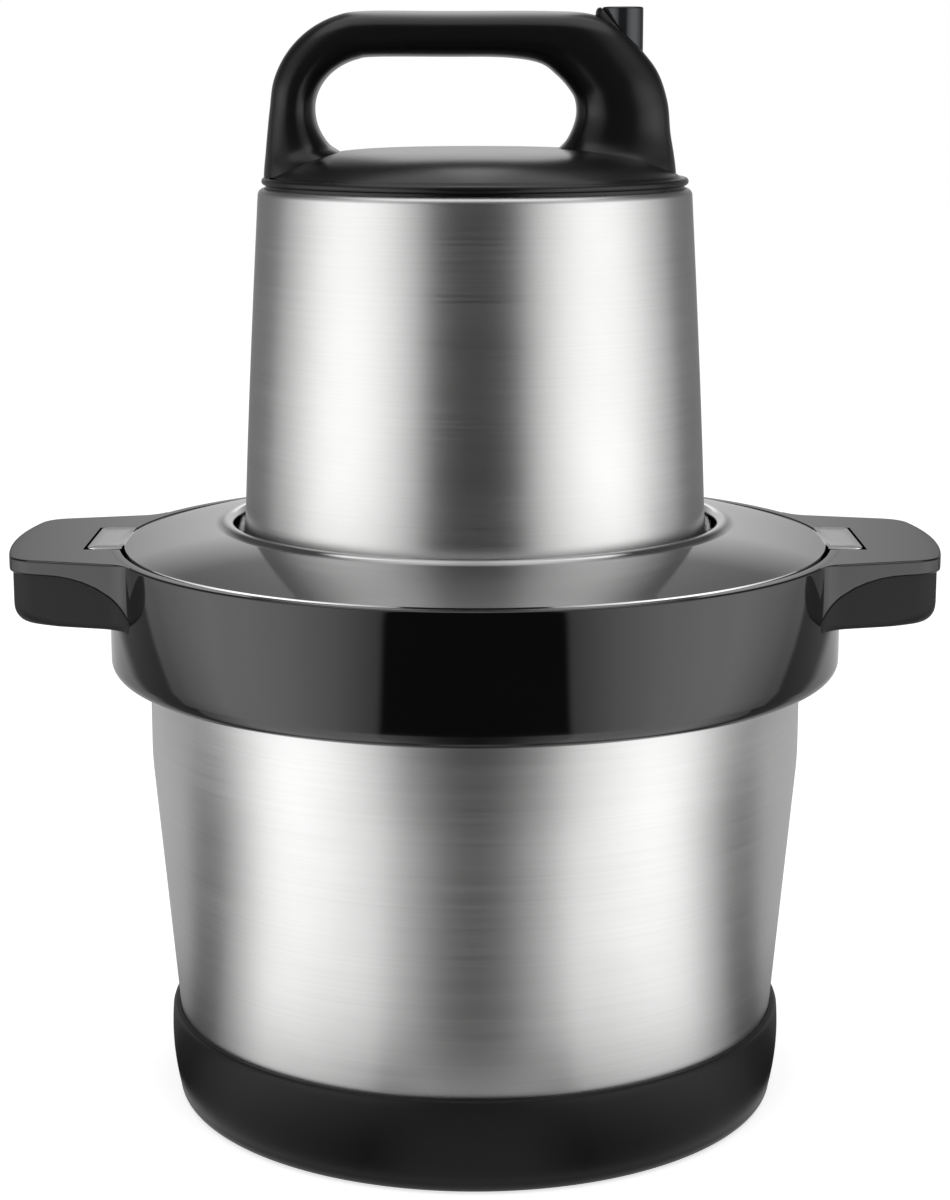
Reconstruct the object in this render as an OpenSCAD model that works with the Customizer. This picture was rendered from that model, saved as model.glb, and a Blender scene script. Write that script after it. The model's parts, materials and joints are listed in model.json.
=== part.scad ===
// Electric yam pounder. A steel bowl stands in a rubber foot and hangs in a black collar with two side
// handles. A domed lid with a well closes it, and a motor head with a carry handle stands in the well
// and turns the blades through a planetary gear. Millimetres, +Z up, origin at the centre of the foot.

/* [Bowl] */
// Outer radius of the bowl's straight upper wall
bowl_r = 115; // [112:0.5:118]
// Height from the bowl's underside to the underside of its rim flange
bowl_h = 189.6; // [180:0.2:200]
// Sheet thickness of the bowl
bowl_wall = 1.2; // [0.8:0.1:2]
// Radius that the tapered wall gains for each millimetre of height
bowl_taper = 0.087; // [0.05:0.001:0.12]
// Height above the floor where the taper ends
taper_top = 125; // [110:1:140]
// Outside radius of the bend between floor and wall
bowl_bend = 18; // [10:1:25]
// Bend radius under the rim flange
rim_bend = 2; // [1.5:0.1:3]
// Width of the rim flange beyond its bend
rim_w = 2.3; // [1.5:0.1:4]

/* [Rubber foot] */
// Height of the rubber foot
foot_h = 33.5; // [28:0.5:40]
// Thickness of the foot's side round the bowl, at its upper edge
foot_wall = 2.96; // [2.4:0.02:6]
// Thickness of the pad under the bowl
pad_t = 5; // [4.5:0.5:8]
// Radius of the open centre of the pad
pad_hole_r = 62; // [40:1:80]

/* [Collar and side handles] */
// Width of the collar from the edge of the bowl's flange to its outer face
collar_w = 9.2; // [8:0.1:14]
// Height of the collar's outer wall
collar_h = 44.4; // [38:0.2:50]
// Wall thickness of the collar
collar_wall = 2.8; // [2:0.1:4]
// Radius of the collar's lower edge
collar_edge = 5; // [3:0.5:7]
// Depth of the recess that the lid lies in
recess_d = 3.2; // [2.6:0.1:4.5]
// Width of the collar's top ledge
ledge_w = 3.9; // [3:0.1:5]
// Ribs between the collar's skirt and its inner sleeve
collar_ribs = 36; // [18:2:48]
// Length by which a side handle stands out from the collar
grip_l = 34; // [30:0.5:44]
// Width of a side handle where it leaves the collar
grip_w = 98; // [84:1:104]
// Angle by which each side of a side handle runs inward to its end
grip_draft = 15; // [5:1:20]
// Corner radius of a side handle in plan
grip_corner = 12; // [8:1:20]
// Radius of the flare from side handle to collar, in plan
grip_flare = 12; // [6:1:18]
// Thickness of a side handle's top plate
plate_t = 5; // [4.2:0.1:7]
// Whole thickness of a side handle
grip_t = 23; // [20:0.5:28]
// Height of the gusset under the top plate
gusset_h = 15; // [10:0.5:16]
// Length of the gusset under the top plate
gusset_l = 23; // [14:0.5:26]

/* [Blades] */
// Radius of the spindle that stands in the bowl
spindle_r = 8; // [7:0.5:9]
// Solid height of the hub between the spindle's top and the drive hexagon
hub_head = 10.6; // [8:0.2:18]
// Gap between the blade tips and the bowl's wall
tip_gap = 12.8; // [8:0.2:24]
// Thickness of the blade steel
blade_t = 2; // [1.5:0.1:2.5]
// Height between the two blade levels
blade_step = 24; // [18:1:30]
// Width across the flats of the hexagonal drive head
drive_af = 14; // [12:0.5:15]

/* [Lid] */
// Sheet thickness of the lid
lid_t = 1.2; // [0.8:0.1:1.6]
// Gap between lid and collar ledge
lid_gap = 1.1; // [0.6:0.1:2]
// Gap between the sleeve's foot and the wall of the well in the lid
well_gap = 4.7; // [4.2:0.1:8]
// Height of the well's lip above the collar
lip_rise = 8.6; // [6:0.2:11]
// Depth of the well's floor below the collar top
well_sink = 10.4; // [9:0.2:12]
// Radius of the hole in the well's floor
well_hole_r = 30; // [28.5:0.5:34]
// Length by which the lid's two tabs lie beyond the collar's outer face
tab_l = 6; // [3:0.5:9]
// Width of a tab
tab_w = 42; // [30:1:50]

/* [Motor head] */
// Outer radius of the steel sleeve at its foot
sleeve_r = 81; // [79:0.1:84]
// Radius that the steel sleeve loses from its foot to its top
sleeve_draw = 6.4; // [4:0.1:9]
// Height of the steel sleeve
sleeve_h = 131.8; // [128:0.2:140]
// Sheet thickness of the sleeve
sleeve_t = 1; // [0.8:0.1:1.4]
// Width of the step between the cap's bead and its raised deck
deck_step = 2.9; // [2:0.1:5]
// Rise of the deck from its edge to its flat middle
dome_rise = 9.4; // [5:0.2:12]
// Wall thickness of the moulded covers
shell_t = 2.6; // [2:0.1:3]

/* [Carry handle] */
// Height of the handle's top above the edge of the deck
loop_rise = 55.4; // [50:0.2:62]
// Thickness of the grip, seen from the front
loop_grip = 15.3; // [13:0.1:17]
// Depth of the grip from front to back
loop_depth = 30; // [26:0.5:36]
// Width of the left column
left_col = 16; // [14:0.5:20]
// Width of the right column, which holds the switch
right_col = 32; // [31:0.5:36]
// Outer corner radius at the left
left_round = 33; // [28:1:36]

/* [Button] */
// Radius of the push button
button_r = 7; // [6:0.1:7.4]
// Distance from the handle's right foot to the button's axis
button_in = 19.1; // [18.5:0.1:20.5]
// Height of the button above the grip
button_rise = 1.4; // [1:0.1:3]
// Travel of the button
button_travel = 4; // [2:0.1:4.4]

/* [Gear and motor] */
// Gear module
gear_module = 1; // [0.9:0.01:1.05]
// Teeth of the sun pinion
sun_teeth = 15; // [12:3:18]
// Teeth of each planet gear
planet_teeth = 24; // [21:3:27]
// Thinning of each tooth for backlash
backlash = 0.12; // [0.08:0.01:0.2]
// Face width of the gears
gear_w = 10; // [8:0.5:12]
// Radius of the rotor shaft
shaft_r = 4; // [3.5:0.1:4.5]
// Radius of the output shaft
output_r = 7.5; // [7:0.1:8]
// Radius of the armature
armature_r = 23; // [20:0.5:24]
// Height of the stator stack
stator_h = 36; // [30:1:38]
// Air gap between armature and stator
air_gap = 0.5; // [0.4:0.1:1]

/* [Clearances] */
// Clearance round pieces that are fitted together and stay
seat_gap = 0.2; // [0.1:0.05:0.3]
// Radial clearance of a shaft in its bearing
run_gap = 0.06; // [0.03:0.01:0.1]
// Clearance round pieces that move or lift out
free_gap = 0.3; // [0.3:0.05:0.5]

/* [Hidden] */
$fn = 96;

// Levels of the bowl and the collar, and radii that follow from the bowl's wall
flange_z = pad_t + bowl_h;
floor_in = pad_t + bowl_wall;
lip_t = 1.4;
seat_z = flange_z + bowl_wall + lip_t;
top_z = seat_z + recess_d;
rim_r = bowl_r + rim_bend + rim_w;
collar_r = rim_r + collar_w;
skirt_z = top_z - collar_h;
plate_z = top_z - plate_t;
ledge_r = collar_r - ledge_w;
lid_r = ledge_r - lid_gap;
well_z = top_z - well_sink;

// The wall of the bowl, and the bend where it meets the floor
tilt = atan(bowl_taper);
function wall_r(z) = bowl_r - bowl_taper * max(0, taper_top - z);
bend_c = [wall_r(pad_t + bowl_bend) - bowl_bend / cos(tilt), pad_t + bowl_bend];
rim_c = [bowl_r + rim_bend, flange_z - rim_bend];
foot_r = wall_r(foot_h) + foot_wall;

// Spindle and blade stack, from the floor up
stub_r = 5;
nut_h = 3.4;
hub_z = floor_in + 9.4;
nut_collar_h = 6;
blade_ring_h = 2.5;
lower_z = hub_z + nut_collar_h;
spacer_z = lower_z + blade_ring_h;
upper_z = spacer_z + blade_step;
shoulder_z = upper_z + blade_ring_h;
bush_r = spindle_r + 2.4;
bush_h = 14;
hub_seat_r = bush_r + 2.6;
hub_flat = hub_seat_r - 1.2;
hub_body_r = hub_seat_r + 4;
blade_reach = wall_r(lower_z) - bowl_wall - tip_gap;

// The head stands on the well's floor
base_z = well_z;
base_t = 8;
sleeve_z = base_z + 1.5;
sleeve_top = sleeve_z + sleeve_h;
sleeve_straight = 8.5;
sleeve_edge = 2.5;
boss_r = 25;
boss_drop = 16;
base_in_r = sleeve_r - sleeve_t - seat_gap;
sleeve_top_r = sleeve_r - sleeve_draw;
well_r = sleeve_r + well_gap;
deck_z = sleeve_top + 3.9;
bead_r = sleeve_top_r - 1.2;
deck_r = bead_r - deck_step;
cap_hole_r = sleeve_top_r - 11;
grip_z = deck_z + loop_rise;

// Gear train. The ring has as many teeth as fit round sun and planets, and all pitch circles touch.
ring_teeth = sun_teeth + 2 * planet_teeth;
planet_count = 3;
orbit_r = gear_module * (sun_teeth + planet_teeth) / 2;
ring_root_r = gear_module * (ring_teeth / 2 + 1.25);
pin_r = 3.5;
carrier_r = orbit_r + pin_r + 4;
carrier_t = 5;
housing_r = ring_root_r + 5.25;
gear_z = base_z + base_t;
carrier_z = gear_z + 0.6;
planet_z = carrier_z + carrier_t + 0.6;
housing_h = planet_z + gear_w + 1.2 - gear_z;

// Bearings: outer radius, bore and height follow the shaft that each one carries
small_bearing = [shaft_r + 7, shaft_r, 7];
large_bearing = [output_r + 10, output_r, 11];
output_bearing_z = gear_z - large_bearing[2] - 1;
seal_h = 6;
seal_r = output_r + 6.5;
seal_z = output_bearing_z - seal_h - 1.2;

// Drive coupling under the head, and the hexagon that enters it from below
coupling_r = 15;
coupling_top = base_z - boss_drop - 0.6;
stub_len = 8;
stub_key_r = output_r - 2.5;
socket_d = 12;
coupling_z = coupling_top - stub_len - 2 - socket_d;
hex_top = coupling_z + socket_d - free_gap;
hex_z = coupling_z - 0.6;
spindle_top = hex_z - hub_head;

// Motor, from the gear housing up
lower_bracket_z = gear_z + housing_h;
bracket_t = 4;
lower_bearing_z = lower_bracket_z + 3;
fan_z = lower_bearing_z + small_bearing[2] + 2.2;
fan_h = 8;
coil_h = 6;
stator_z = fan_z + fan_h + coil_h + 1.4;
stator_top = stator_z + stator_h;
commutator_z = stator_top + coil_h + 3;
commutator_h = 12;
commutator_r = 12;
upper_bearing_z = commutator_z + commutator_h + 3;
upper_bracket_z = upper_bearing_z - 3;
stator_x = armature_r + 23;
stator_y = armature_r + 15;
bolt_r = 2;
bolt_at = [stator_x - 6, stator_y - 6];
slot_in = armature_r + air_gap + 1.5;
slot_out = stator_x - 11;

// Carry handle. Every station pairs a point of the outer outline with one of the opening's outline.
foot_left = bead_r - 1;
foot_right = bead_r - 4;
button_x = foot_right - button_in;
left_c = [left_round - foot_left + 2.2, grip_z - left_round];
open_top = grip_z - loop_grip;
open_left = left_col - foot_left + 1.6;
open_right = foot_right - right_col - 2.6;
open_round = 17.5;
loop_base = deck_z - 6;
column_z = deck_z + dome_rise * 0.4;

// Small fasteners
screw_r = 1.6;
screw_head_r = 3.2;
screw_head_h = 2.2;

function arc(c, r, a0, a1, n = 6) =
    [for (i = [0 : n]) let (a = a0 + (a1 - a0) * i / n) c + r * [cos(a), sin(a)]];

// A sheet of thickness t along a path, laid on the path's left side with mitred bends
function unit(v) = v / norm(v);
function left(v) = [-v[1], v[0]];
function heading(p, i) = unit(p[min(i + 1, len(p) - 1)] - p[min(i, len(p) - 2)]);
function mitre(p, i) =
    let (a = left(heading(p, max(i - 1, 0))), b = left(heading(p, i)), m = unit(a + b)) m / (m * a);
function sheet(p, t) = concat(p, [for (i = [len(p) - 1 : -1 : 0]) p[i] + t * mitre(p, i)]);

// Catmull-Rom curve through a list of points or rows, with n steps between neighbours
function spline(p, n) = [for (i = [0 : len(p) - 2], k = [0 : n - 1]) let (u = k / n,
    a = p[max(i - 1, 0)], b = p[i], c = p[i + 1], d = p[min(i + 2, len(p) - 1)])
    b + u * (c - a) / 2 + u * u * (2 * a - 5 * b + 4 * c - d) / 2 + u * u * u * (3 * b - a - 3 * c + d) / 2];

// Closed body through a list of rings with equally many points, each ring running clockwise when seen
// along the body from its first ring
module loft(rings) {
    n = len(rings[0]);
    m = len(rings);
    polyhedron(points = [for (ring = rings) each ring], convexity = 6, faces = concat(
        [[for (i = [n - 1 : -1 : 0]) i]],
        [for (k = [0 : m - 2], i = [0 : n - 1])
            each [[k * n + i, k * n + (i + 1) % n, (k + 1) * n + i],
                [k * n + (i + 1) % n, (k + 1) * n + (i + 1) % n, (k + 1) * n + i]]],
        [[for (i = [0 : n - 1]) (m - 1) * n + i]]));
}

module tube(r, bore, h) {
    difference() {
        cylinder(r = r, h = h);
        translate([0, 0, -1]) cylinder(r = bore, h = h + 2);
    }
}

module revolve(points) {
    rotate_extrude(convexity = 4) polygon(points);
}

module hexagon(af, h) {
    cylinder(r = af / 2 / cos(30), h = h, $fn = 6);
}

// Sheet of the bowl: floor, bend, tapered wall, straight wall and rim flange
bowl_path = concat([[stub_r + seat_gap, pad_t]], arc(bend_c, bowl_bend, -90, -tilt), [[bowl_r, taper_top]],
    arc(rim_c, rim_bend, 180, 90, 4), [[rim_r, flange_z]]);

// Bulging side of the foot between its lower and upper edge
foot_belly = 24;
foot_edge = 4;
function foot_side(z) = foot_r - 0.0058 * pow(z - foot_belly, 2);

module base_ring() {
    top_edge = 1.5;
    gap = seat_gap / cos(tilt);
    color("#1c1c1d") revolve(concat(
        [[pad_hole_r, 0], [foot_side(0) - foot_edge / 1.6, 0]],
        arc([foot_side(foot_edge) - foot_edge, foot_edge], foot_edge, -60, 0, 4),
        [for (k = [1 : 6]) let (z = foot_edge + (foot_h - top_edge - foot_edge) * k / 6) [foot_side(z), z]],
        arc([foot_side(foot_h) - top_edge, foot_h - top_edge], top_edge, 30, 90, 3),
        [[wall_r(foot_h) + gap, foot_h], [wall_r(bend_c[1]) + gap, bend_c[1]]],
        arc(bend_c, bowl_bend + seat_gap, -tilt, -84),
        [[bend_c[0] - 2, pad_t], [pad_hole_r, pad_t]]));
}

module bowl() {
    color("#c8cacb") revolve(sheet(bowl_path, bowl_wall));
}

module bowl_spindle() {
    color("#b4b6b8") revolve([[0, pad_t - nut_h - 0.4], [stub_r, pad_t - nut_h - 0.4], [stub_r, floor_in],
        [spindle_r + 13, floor_in], [spindle_r + 13, floor_in + 2], [spindle_r + 3, floor_in + 4],
        [spindle_r, floor_in + 8], [spindle_r, spindle_top - 2], [spindle_r - 2, spindle_top],
        [0, spindle_top]]);
}

module spindle_nut() {
    color("#9a9c9e") translate([0, 0, pad_t - nut_h]) difference() {
        hexagon(17, nut_h);
        translate([0, 0, -1]) cylinder(r = stub_r + run_gap, h = nut_h + 2);
    }
}

// The collar is moulded over the rim flange: its groove holds the flange from both sides.
collar_in = bowl_r + seat_gap;
sleeve_low = flange_z - 18;
sleeve_out = rim_r + 0.6;
web_z = plate_z - 1;
collar_profile = concat(
    [[collar_in, sleeve_low]],
    arc(rim_c, rim_bend - seat_gap, 180, 90, 4),
    [[rim_r + seat_gap, flange_z - seat_gap], [rim_r + seat_gap, flange_z + bowl_wall + seat_gap],
        [bowl_r + 1.6, flange_z + bowl_wall + seat_gap], [bowl_r + 1.6, seat_z], [ledge_r, seat_z],
        [ledge_r, top_z]],
    arc([collar_r - 0.8, top_z - 0.8], 0.8, 90, 0, 3),
    arc([collar_r - collar_edge, skirt_z + collar_edge], collar_edge, 0, -60),
    [[collar_r - collar_edge, skirt_z], [collar_r - collar_wall - 1.4, skirt_z + collar_wall],
        [collar_r - collar_wall, skirt_z + collar_edge + 2], [collar_r - collar_wall, web_z - 6],
        [collar_r - collar_wall - 1.5, flange_z - 6.4], [sleeve_out, flange_z - 6.4],
        [sleeve_out - 1, sleeve_low]]);

// Plan of one side handle at +X, reduced all round by inset. Its sides run inward to an end that is
// concentric with the collar, and flare into the collar's wall.
reach = collar_r + grip_l;
tab_reach = collar_r + tab_l;
function grip_outline(inset) =
    let (c = cos(grip_draft), s = sin(grip_draft), edge = grip_w / 2 * c + collar_r * s - inset,
        tip = reach - inset, corner = grip_corner - inset, flare = grip_flare + inset,
        deep_in = edge - corner, out = edge + flare,
        at = [deep_in * s + c * sqrt(pow(tip - corner, 2) - deep_in * deep_in),
            deep_in * c - s * sqrt(pow(tip - corner, 2) - deep_in * deep_in)],
        by = [out * s + c * sqrt(pow(collar_r + flare, 2) - out * out),
            out * c - s * sqrt(pow(collar_r + flare, 2) - out * out)],
        turn = atan2(at[1], at[0]), from = atan2(by[1], by[0]))
    concat(arc([0, 0], tip, 0, turn, 6), arc(at, corner, turn, 90 - grip_draft, 8),
        arc(by, flare, 270 - grip_draft, 180 + from, 6), [collar_r * 0.72 * [cos(from), sin(from)]]);
module grip_plan(inset = 0) {
    half = grip_outline(inset);
    polygon(concat(half, [for (k = [len(half) - 1 : -1 : 1]) [half[k][0], -half[k][1]]]));
}

// Gusset that sweeps from the collar's wall out under the top plate, in a quarter of an ellipse
module gusset(grow = 0) {
    low = plate_z - gusset_h;
    revolve(concat([[collar_r - 1, low], [collar_r + grow, low]],
        [for (a = [15 : 15 : 75])
            [collar_r + gusset_l - (gusset_l - grow) * cos(a), low + (gusset_h - grow) * sin(a)]],
        [[collar_r + gusset_l, plate_z - grow], [collar_r + gusset_l, plate_z + 1],
            [collar_r - 1, plate_z + 1]]));
}

screw_x = reach - 16;
screw_y = grip_w / 2 - 27;
cover_z = top_z - grip_t;
cover_floor = 3;
module at_cover_screws() {
    for (s = [-1, 1]) translate([screw_x, s * screw_y, 0]) children();
}

module tab_notch() {
    from = ledge_r - 5;
    translate([from, -tab_w / 2 - lid_gap, seat_z])
        cube([tab_reach + lid_gap - from, tab_w + 2 * lid_gap, recess_d + 1]);
}

module wing() {
    difference() {
        union() {
            translate([0, 0, plate_z]) linear_extrude(plate_t) grip_plan();
            intersection() {
                gusset();
                translate([0, 0, plate_z - gusset_h]) linear_extrude(gusset_h + 1) grip_plan();
            }
            at_cover_screws() translate([0, 0, cover_z + cover_floor])
                cylinder(r = screw_r + 2, h = plate_z - cover_z - cover_floor + 1);
        }
        translate([0, 0, skirt_z]) cylinder(r = collar_r - 1, h = collar_h + 1);
        tab_notch();
        at_cover_screws() translate([0, 0, cover_z]) cylinder(r = screw_r + run_gap, h = grip_t - 2.4);
    }
}

module collar() {
    color("#151516") union() {
        difference() {
            revolve(collar_profile);
            for (s = [0, 1]) mirror([s, 0, 0]) tab_notch();
        }
        for (s = [0, 1]) mirror([s, 0, 0]) wing();
        for (k = [0 : collar_ribs - 1]) rotate((k + 0.5) * 360 / collar_ribs)
            translate([sleeve_out - 0.8, -0.8, flange_z - 17])
            cube([collar_r - collar_wall - sleeve_out + 1.4, 1.6, 11]);
    }
}

// Lower half of a side handle: an open tray, rounded below, cut clear of collar and gusset
cover_inset = 1.2;
cover_round = 6;
module cover_block(inset) {
    low = cover_z + (inset > cover_inset ? cover_floor : 0);
    soft = cover_round - (inset - cover_inset);
    high = plate_z - seat_gap + (inset > cover_inset ? 1 : 0);
    intersection() {
        translate([0, 0, low]) linear_extrude(high - low) grip_plan(inset);
        revolve(concat([[collar_r / 2, low]], arc([reach - inset - soft, low + soft], soft, -90, 0),
            [[reach - inset, high], [collar_r / 2, high]]));
    }
}

module handle_cover() {
    color("#242425") difference() {
        cover_block(cover_inset);
        difference() {
            cover_block(cover_inset + shell_t);
            translate([0, 0, skirt_z]) cylinder(r = collar_r + shell_t + seat_gap, h = collar_h);
            gusset(shell_t + seat_gap);
            at_cover_screws() translate([0, 0, cover_z]) cylinder(r = screw_r + 3.4, h = cover_floor + 4);
        }
        translate([0, 0, skirt_z]) cylinder(r = collar_r + seat_gap, h = collar_h);
        gusset(seat_gap);
        at_cover_screws() {
            translate([0, 0, cover_z - 1]) cylinder(r = screw_r + seat_gap, h = grip_t);
            translate([0, 0, cover_z - 1]) cylinder(r = screw_head_r + seat_gap, h = 1 + screw_head_h);
            translate([0, 0, cover_z + cover_floor - seat_gap])
                cylinder(r = screw_r + 2 + seat_gap, h = grip_t);
        }
    }
}

module handle_cover_right() {
    handle_cover();
}

module handle_cover_left() {
    mirror([1, 0, 0]) handle_cover();
}

module screw(length) {
    difference() {
        union() {
            cylinder(r = screw_head_r, h = screw_head_h);
            cylinder(r = screw_r, h = length);
        }
        translate([0, 0, -1]) cylinder(r = 1.4, h = 2.2, $fn = 6);
    }
}

module cover_screws() {
    color("#8d8f91") for (s = [0, 1]) mirror([s, 0, 0])
        at_cover_screws() translate([0, 0, cover_z]) screw(15);
}

// Blade unit: a moulded hub on the spindle, two blade levels, spacer and nut
module keyed(r, flat, h) {
    intersection() {
        cylinder(r = r, h = h);
        translate([-flat, -r - 1, 0]) cube([2 * flat, 2 * r + 2, h]);
    }
}

module blade_hub() {
    color("#e4e3de") difference() {
        union() {
            translate([0, 0, hub_z]) keyed(hub_seat_r, hub_flat, shoulder_z - hub_z + 0.5);
            revolve([[0, shoulder_z], [hub_body_r, shoulder_z], [hub_body_r, shoulder_z + 6],
                [hub_body_r - 1.5, shoulder_z + 10], [bush_r + 2.4, hex_z - 16], [bush_r + 2.4, hex_z - 2],
                [bush_r + 0.4, hex_z], [0, hex_z]]);
            translate([0, 0, hex_z - 0.5]) hexagon(drive_af, hex_top - hex_z + 0.5);
        }
        translate([0, 0, hub_z - 1]) cylinder(r = bush_r + run_gap, h = spindle_top + 1 - hub_z);
        translate([0, 0, spindle_top - 1]) cylinder(r = spindle_r, h = 3);
    }
}

module hub_bushes() {
    color("#b58d3d") for (z = [hub_z + 0.2, spindle_top - 2 - bush_h])
        translate([0, 0, z]) tube(bush_r, spindle_r + run_gap, bush_h);
}

// One wing of a blade: wedge section, swept back in plan, with the tip turned up
module blade_wing(z, sweep, tip_rise) {
    wide = 13;
    rows = 9;
    root_r = hub_body_r - 2;
    translate([0, 0, z]) loft([for (k = [0 : rows]) let (u = k / rows,
        r = root_r + (blade_reach - root_r) * u, a = sweep * u * u, w = wide * (1 - 0.45 * u * u),
        lift = tip_rise * u * u * u)
        [for (q = [[-w, blade_t], [w - 4, blade_t], [w, 0], [-w, 0]])
            [r * cos(a) - q[0] * sin(a), r * sin(a) + q[0] * cos(a), q[1] + lift]]]);
}

module blade_level(z, turn, sweep, tip_rise) {
    color("#bfc1c3") difference() {
        union() {
            translate([0, 0, z]) cylinder(r = hub_body_r, h = blade_ring_h);
            for (s = [0, 180]) rotate(turn + s) blade_wing(z, sweep, tip_rise);
        }
        translate([0, 0, z - 1]) keyed(hub_seat_r + seat_gap, hub_flat + seat_gap, blade_ring_h + 2);
    }
}

module lower_blades() {
    blade_level(lower_z, 0, -28, 3);
}

module upper_blades() {
    blade_level(upper_z, 90, -22, 14);
}

module blade_spacer() {
    color("#d8d7d2") translate([0, 0, spacer_z]) tube(hub_body_r - 1, hub_seat_r + seat_gap, blade_step);
}

module blade_nut() {
    lobes = 10;
    color("#e4e3de") translate([0, 0, hub_z]) difference() {
        cylinder(r = hub_body_r + 1, h = nut_collar_h);
        translate([0, 0, -1]) cylinder(r = hub_seat_r + seat_gap, h = nut_collar_h + 2);
        for (k = [0 : lobes - 1]) rotate(k * 360 / lobes)
            translate([hub_body_r + 3, 0, -1]) cylinder(r = 3, h = nut_collar_h + 2);
    }
}

// Lid: one pressed sheet with floor, well wall, lip, dome and hem, and two tabs at its edge
seal_t = 1;
well_bend = 4;
lip_r = 1.6;
hem_r = lid_r - lid_t;
lip_z = top_z + lip_rise - lid_t;
dome_in = [well_r + 2 * lip_r + 1, top_z + lip_rise - 2.6];
dome_out = [hem_r - 1.2, top_z - lid_t + 0.5];
lid_path = concat([[well_hole_r, well_z - lid_t], [well_r - well_bend, well_z - lid_t]],
    arc([well_r - well_bend, well_z - lid_t + well_bend], well_bend, -70, 0, 4),
    arc([well_r + lip_r, lip_z - lip_r], lip_r, 180, 50, 5),
    [for (k = [0 : 8]) let (u = k / 8) [dome_in[0] + (dome_out[0] - dome_in[0]) * u,
        dome_out[1] + (dome_in[1] - dome_out[1]) * (1 - 0.72 * u - 0.28 * u * u)]],
    [[hem_r, dome_out[1] - 1], [hem_r, seat_z + seal_t]]);

module lid_dish() {
    tab_corner = 3;
    color("#d4d6d8") union() {
        revolve(sheet(lid_path, lid_t));
        for (s = [0, 1]) mirror([s, 0, 0]) translate([0, 0, top_z - 1]) linear_extrude(1.4) difference() {
            union() {
                translate([0, -tab_w / 2]) square([tab_reach - tab_corner, tab_w]);
                translate([0, tab_corner - tab_w / 2]) square([tab_reach, tab_w - 2 * tab_corner]);
                for (t = [-1, 1]) translate([tab_reach - tab_corner, t * (tab_w / 2 - tab_corner)])
                    circle(r = tab_corner);
            }
            circle(r = hem_r + 0.2);
        }
    }
}

module lid_seal() {
    plug_r = bowl_r - bowl_wall - free_gap;
    plug_in = plug_r - 1.8;
    color("#e9e9e6") revolve([[plug_in, flange_z - 6], [plug_r - 0.6, flange_z - 6], [plug_r, flange_z - 3],
        [plug_r, seat_z], [lid_r - 0.1, seat_z], [lid_r - 0.1, seat_z + seal_t], [plug_in, seat_z + seal_t]]);
}

// Steel sleeve of the head: straight foot, easing into the taper, turned in at the top
function sleeve_at(z) = let (u = max(0, z - sleeve_z - sleeve_straight) / (sleeve_h - sleeve_straight))
    sleeve_r - (sleeve_r - sleeve_top_r) * pow(u, 1.2);
bend_z = sleeve_top - sleeve_edge;
sleeve_path = concat([[sleeve_r, sleeve_z]],
    [for (k = [0 : 7]) let (z = sleeve_z + sleeve_straight + (bend_z - sleeve_z - sleeve_straight) * k / 7)
        [sleeve_at(z), z]],
    arc([sleeve_at(bend_z) - sleeve_edge, bend_z], sleeve_edge, 15, 90, 4), [[cap_hole_r, sleeve_top]]);

module motor_sleeve() {
    color("#c8cacb") revolve(sheet(sleeve_path, sleeve_t));
}

// Base of the head: a disc that closes the sleeve, with the boss for the output shaft and air slots
vent_count = 24;
base_screw_r = housing_r + 4;
module at_base_screws() {
    for (k = [0 : 3]) rotate(45 + 90 * k) translate([base_screw_r, 0, 0]) children();
}

module motor_base() {
    color("#1a1a1b") difference() {
        union() {
            translate([0, 0, base_z]) cylinder(r = base_in_r - 2.4, h = base_t);
            translate([0, 0, base_z + 2]) cylinder(r = base_in_r, h = base_t + 4);
            translate([0, 0, base_z - boss_drop]) cylinder(r = boss_r, h = boss_drop + 1);
        }
        translate([0, 0, gear_z]) cylinder(r = base_in_r - 3, h = base_t + 5);
        translate([0, 0, output_bearing_z])
            cylinder(r = large_bearing[0] + run_gap, h = large_bearing[2] + 3);
        translate([0, 0, seal_z]) cylinder(r = seal_r + run_gap, h = seal_h + 3);
        translate([0, 0, base_z - boss_drop - 1]) cylinder(r = output_r + 1.5, h = boss_drop);
        for (k = [0 : vent_count - 1]) rotate((k + 0.5) * 360 / vent_count)
            translate([housing_r + 14, -1.5, base_z - 1]) cube([base_in_r - housing_r - 22, 3, base_t + 2]);
        at_base_screws() {
            translate([0, 0, base_z - 1]) cylinder(r = screw_r + seat_gap, h = base_t + 2);
            translate([0, 0, base_z - 1]) cylinder(r = screw_head_r + seat_gap, h = 1 + screw_head_h + 0.4);
        }
    }
}

module base_screws() {
    color("#8d8f91") at_base_screws() translate([0, 0, base_z + 0.4]) screw(base_t + 3);
}

// Bearing with raised rings on both faces and a recessed shield between them
module bearing(size, z) {
    outer = size[0];
    bore = size[1] + run_gap;
    h = size[2];
    inner_ring = bore + 1.6;
    outer_ring = outer - 1.8;
    dent = 0.5;
    color("#a9abad") translate([0, 0, z]) revolve([[bore, 0], [inner_ring, 0], [inner_ring, dent],
        [outer_ring, dent], [outer_ring, 0], [outer, 0], [outer, h], [outer_ring, h], [outer_ring, h - dent],
        [inner_ring, h - dent], [inner_ring, h], [bore, h]]);
}

module output_bearing() {
    bearing(large_bearing, output_bearing_z);
}

module lower_bearing() {
    bearing(small_bearing, lower_bearing_z);
}

module upper_bearing() {
    bearing(small_bearing, upper_bearing_z);
}

module output_seal() {
    lip_out = output_r + 1;
    hollow_out = output_r + 5;
    color("#3a2a22") translate([0, 0, seal_z]) revolve([[output_r + run_gap, 0], [lip_out, 0],
        [lip_out, seal_h - 2.5], [hollow_out, seal_h - 2.5], [hollow_out, 0], [seal_r, 0], [seal_r, seal_h],
        [lip_out + 0.4, seal_h], [output_r + run_gap, seal_h - 2]]);
}

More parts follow.
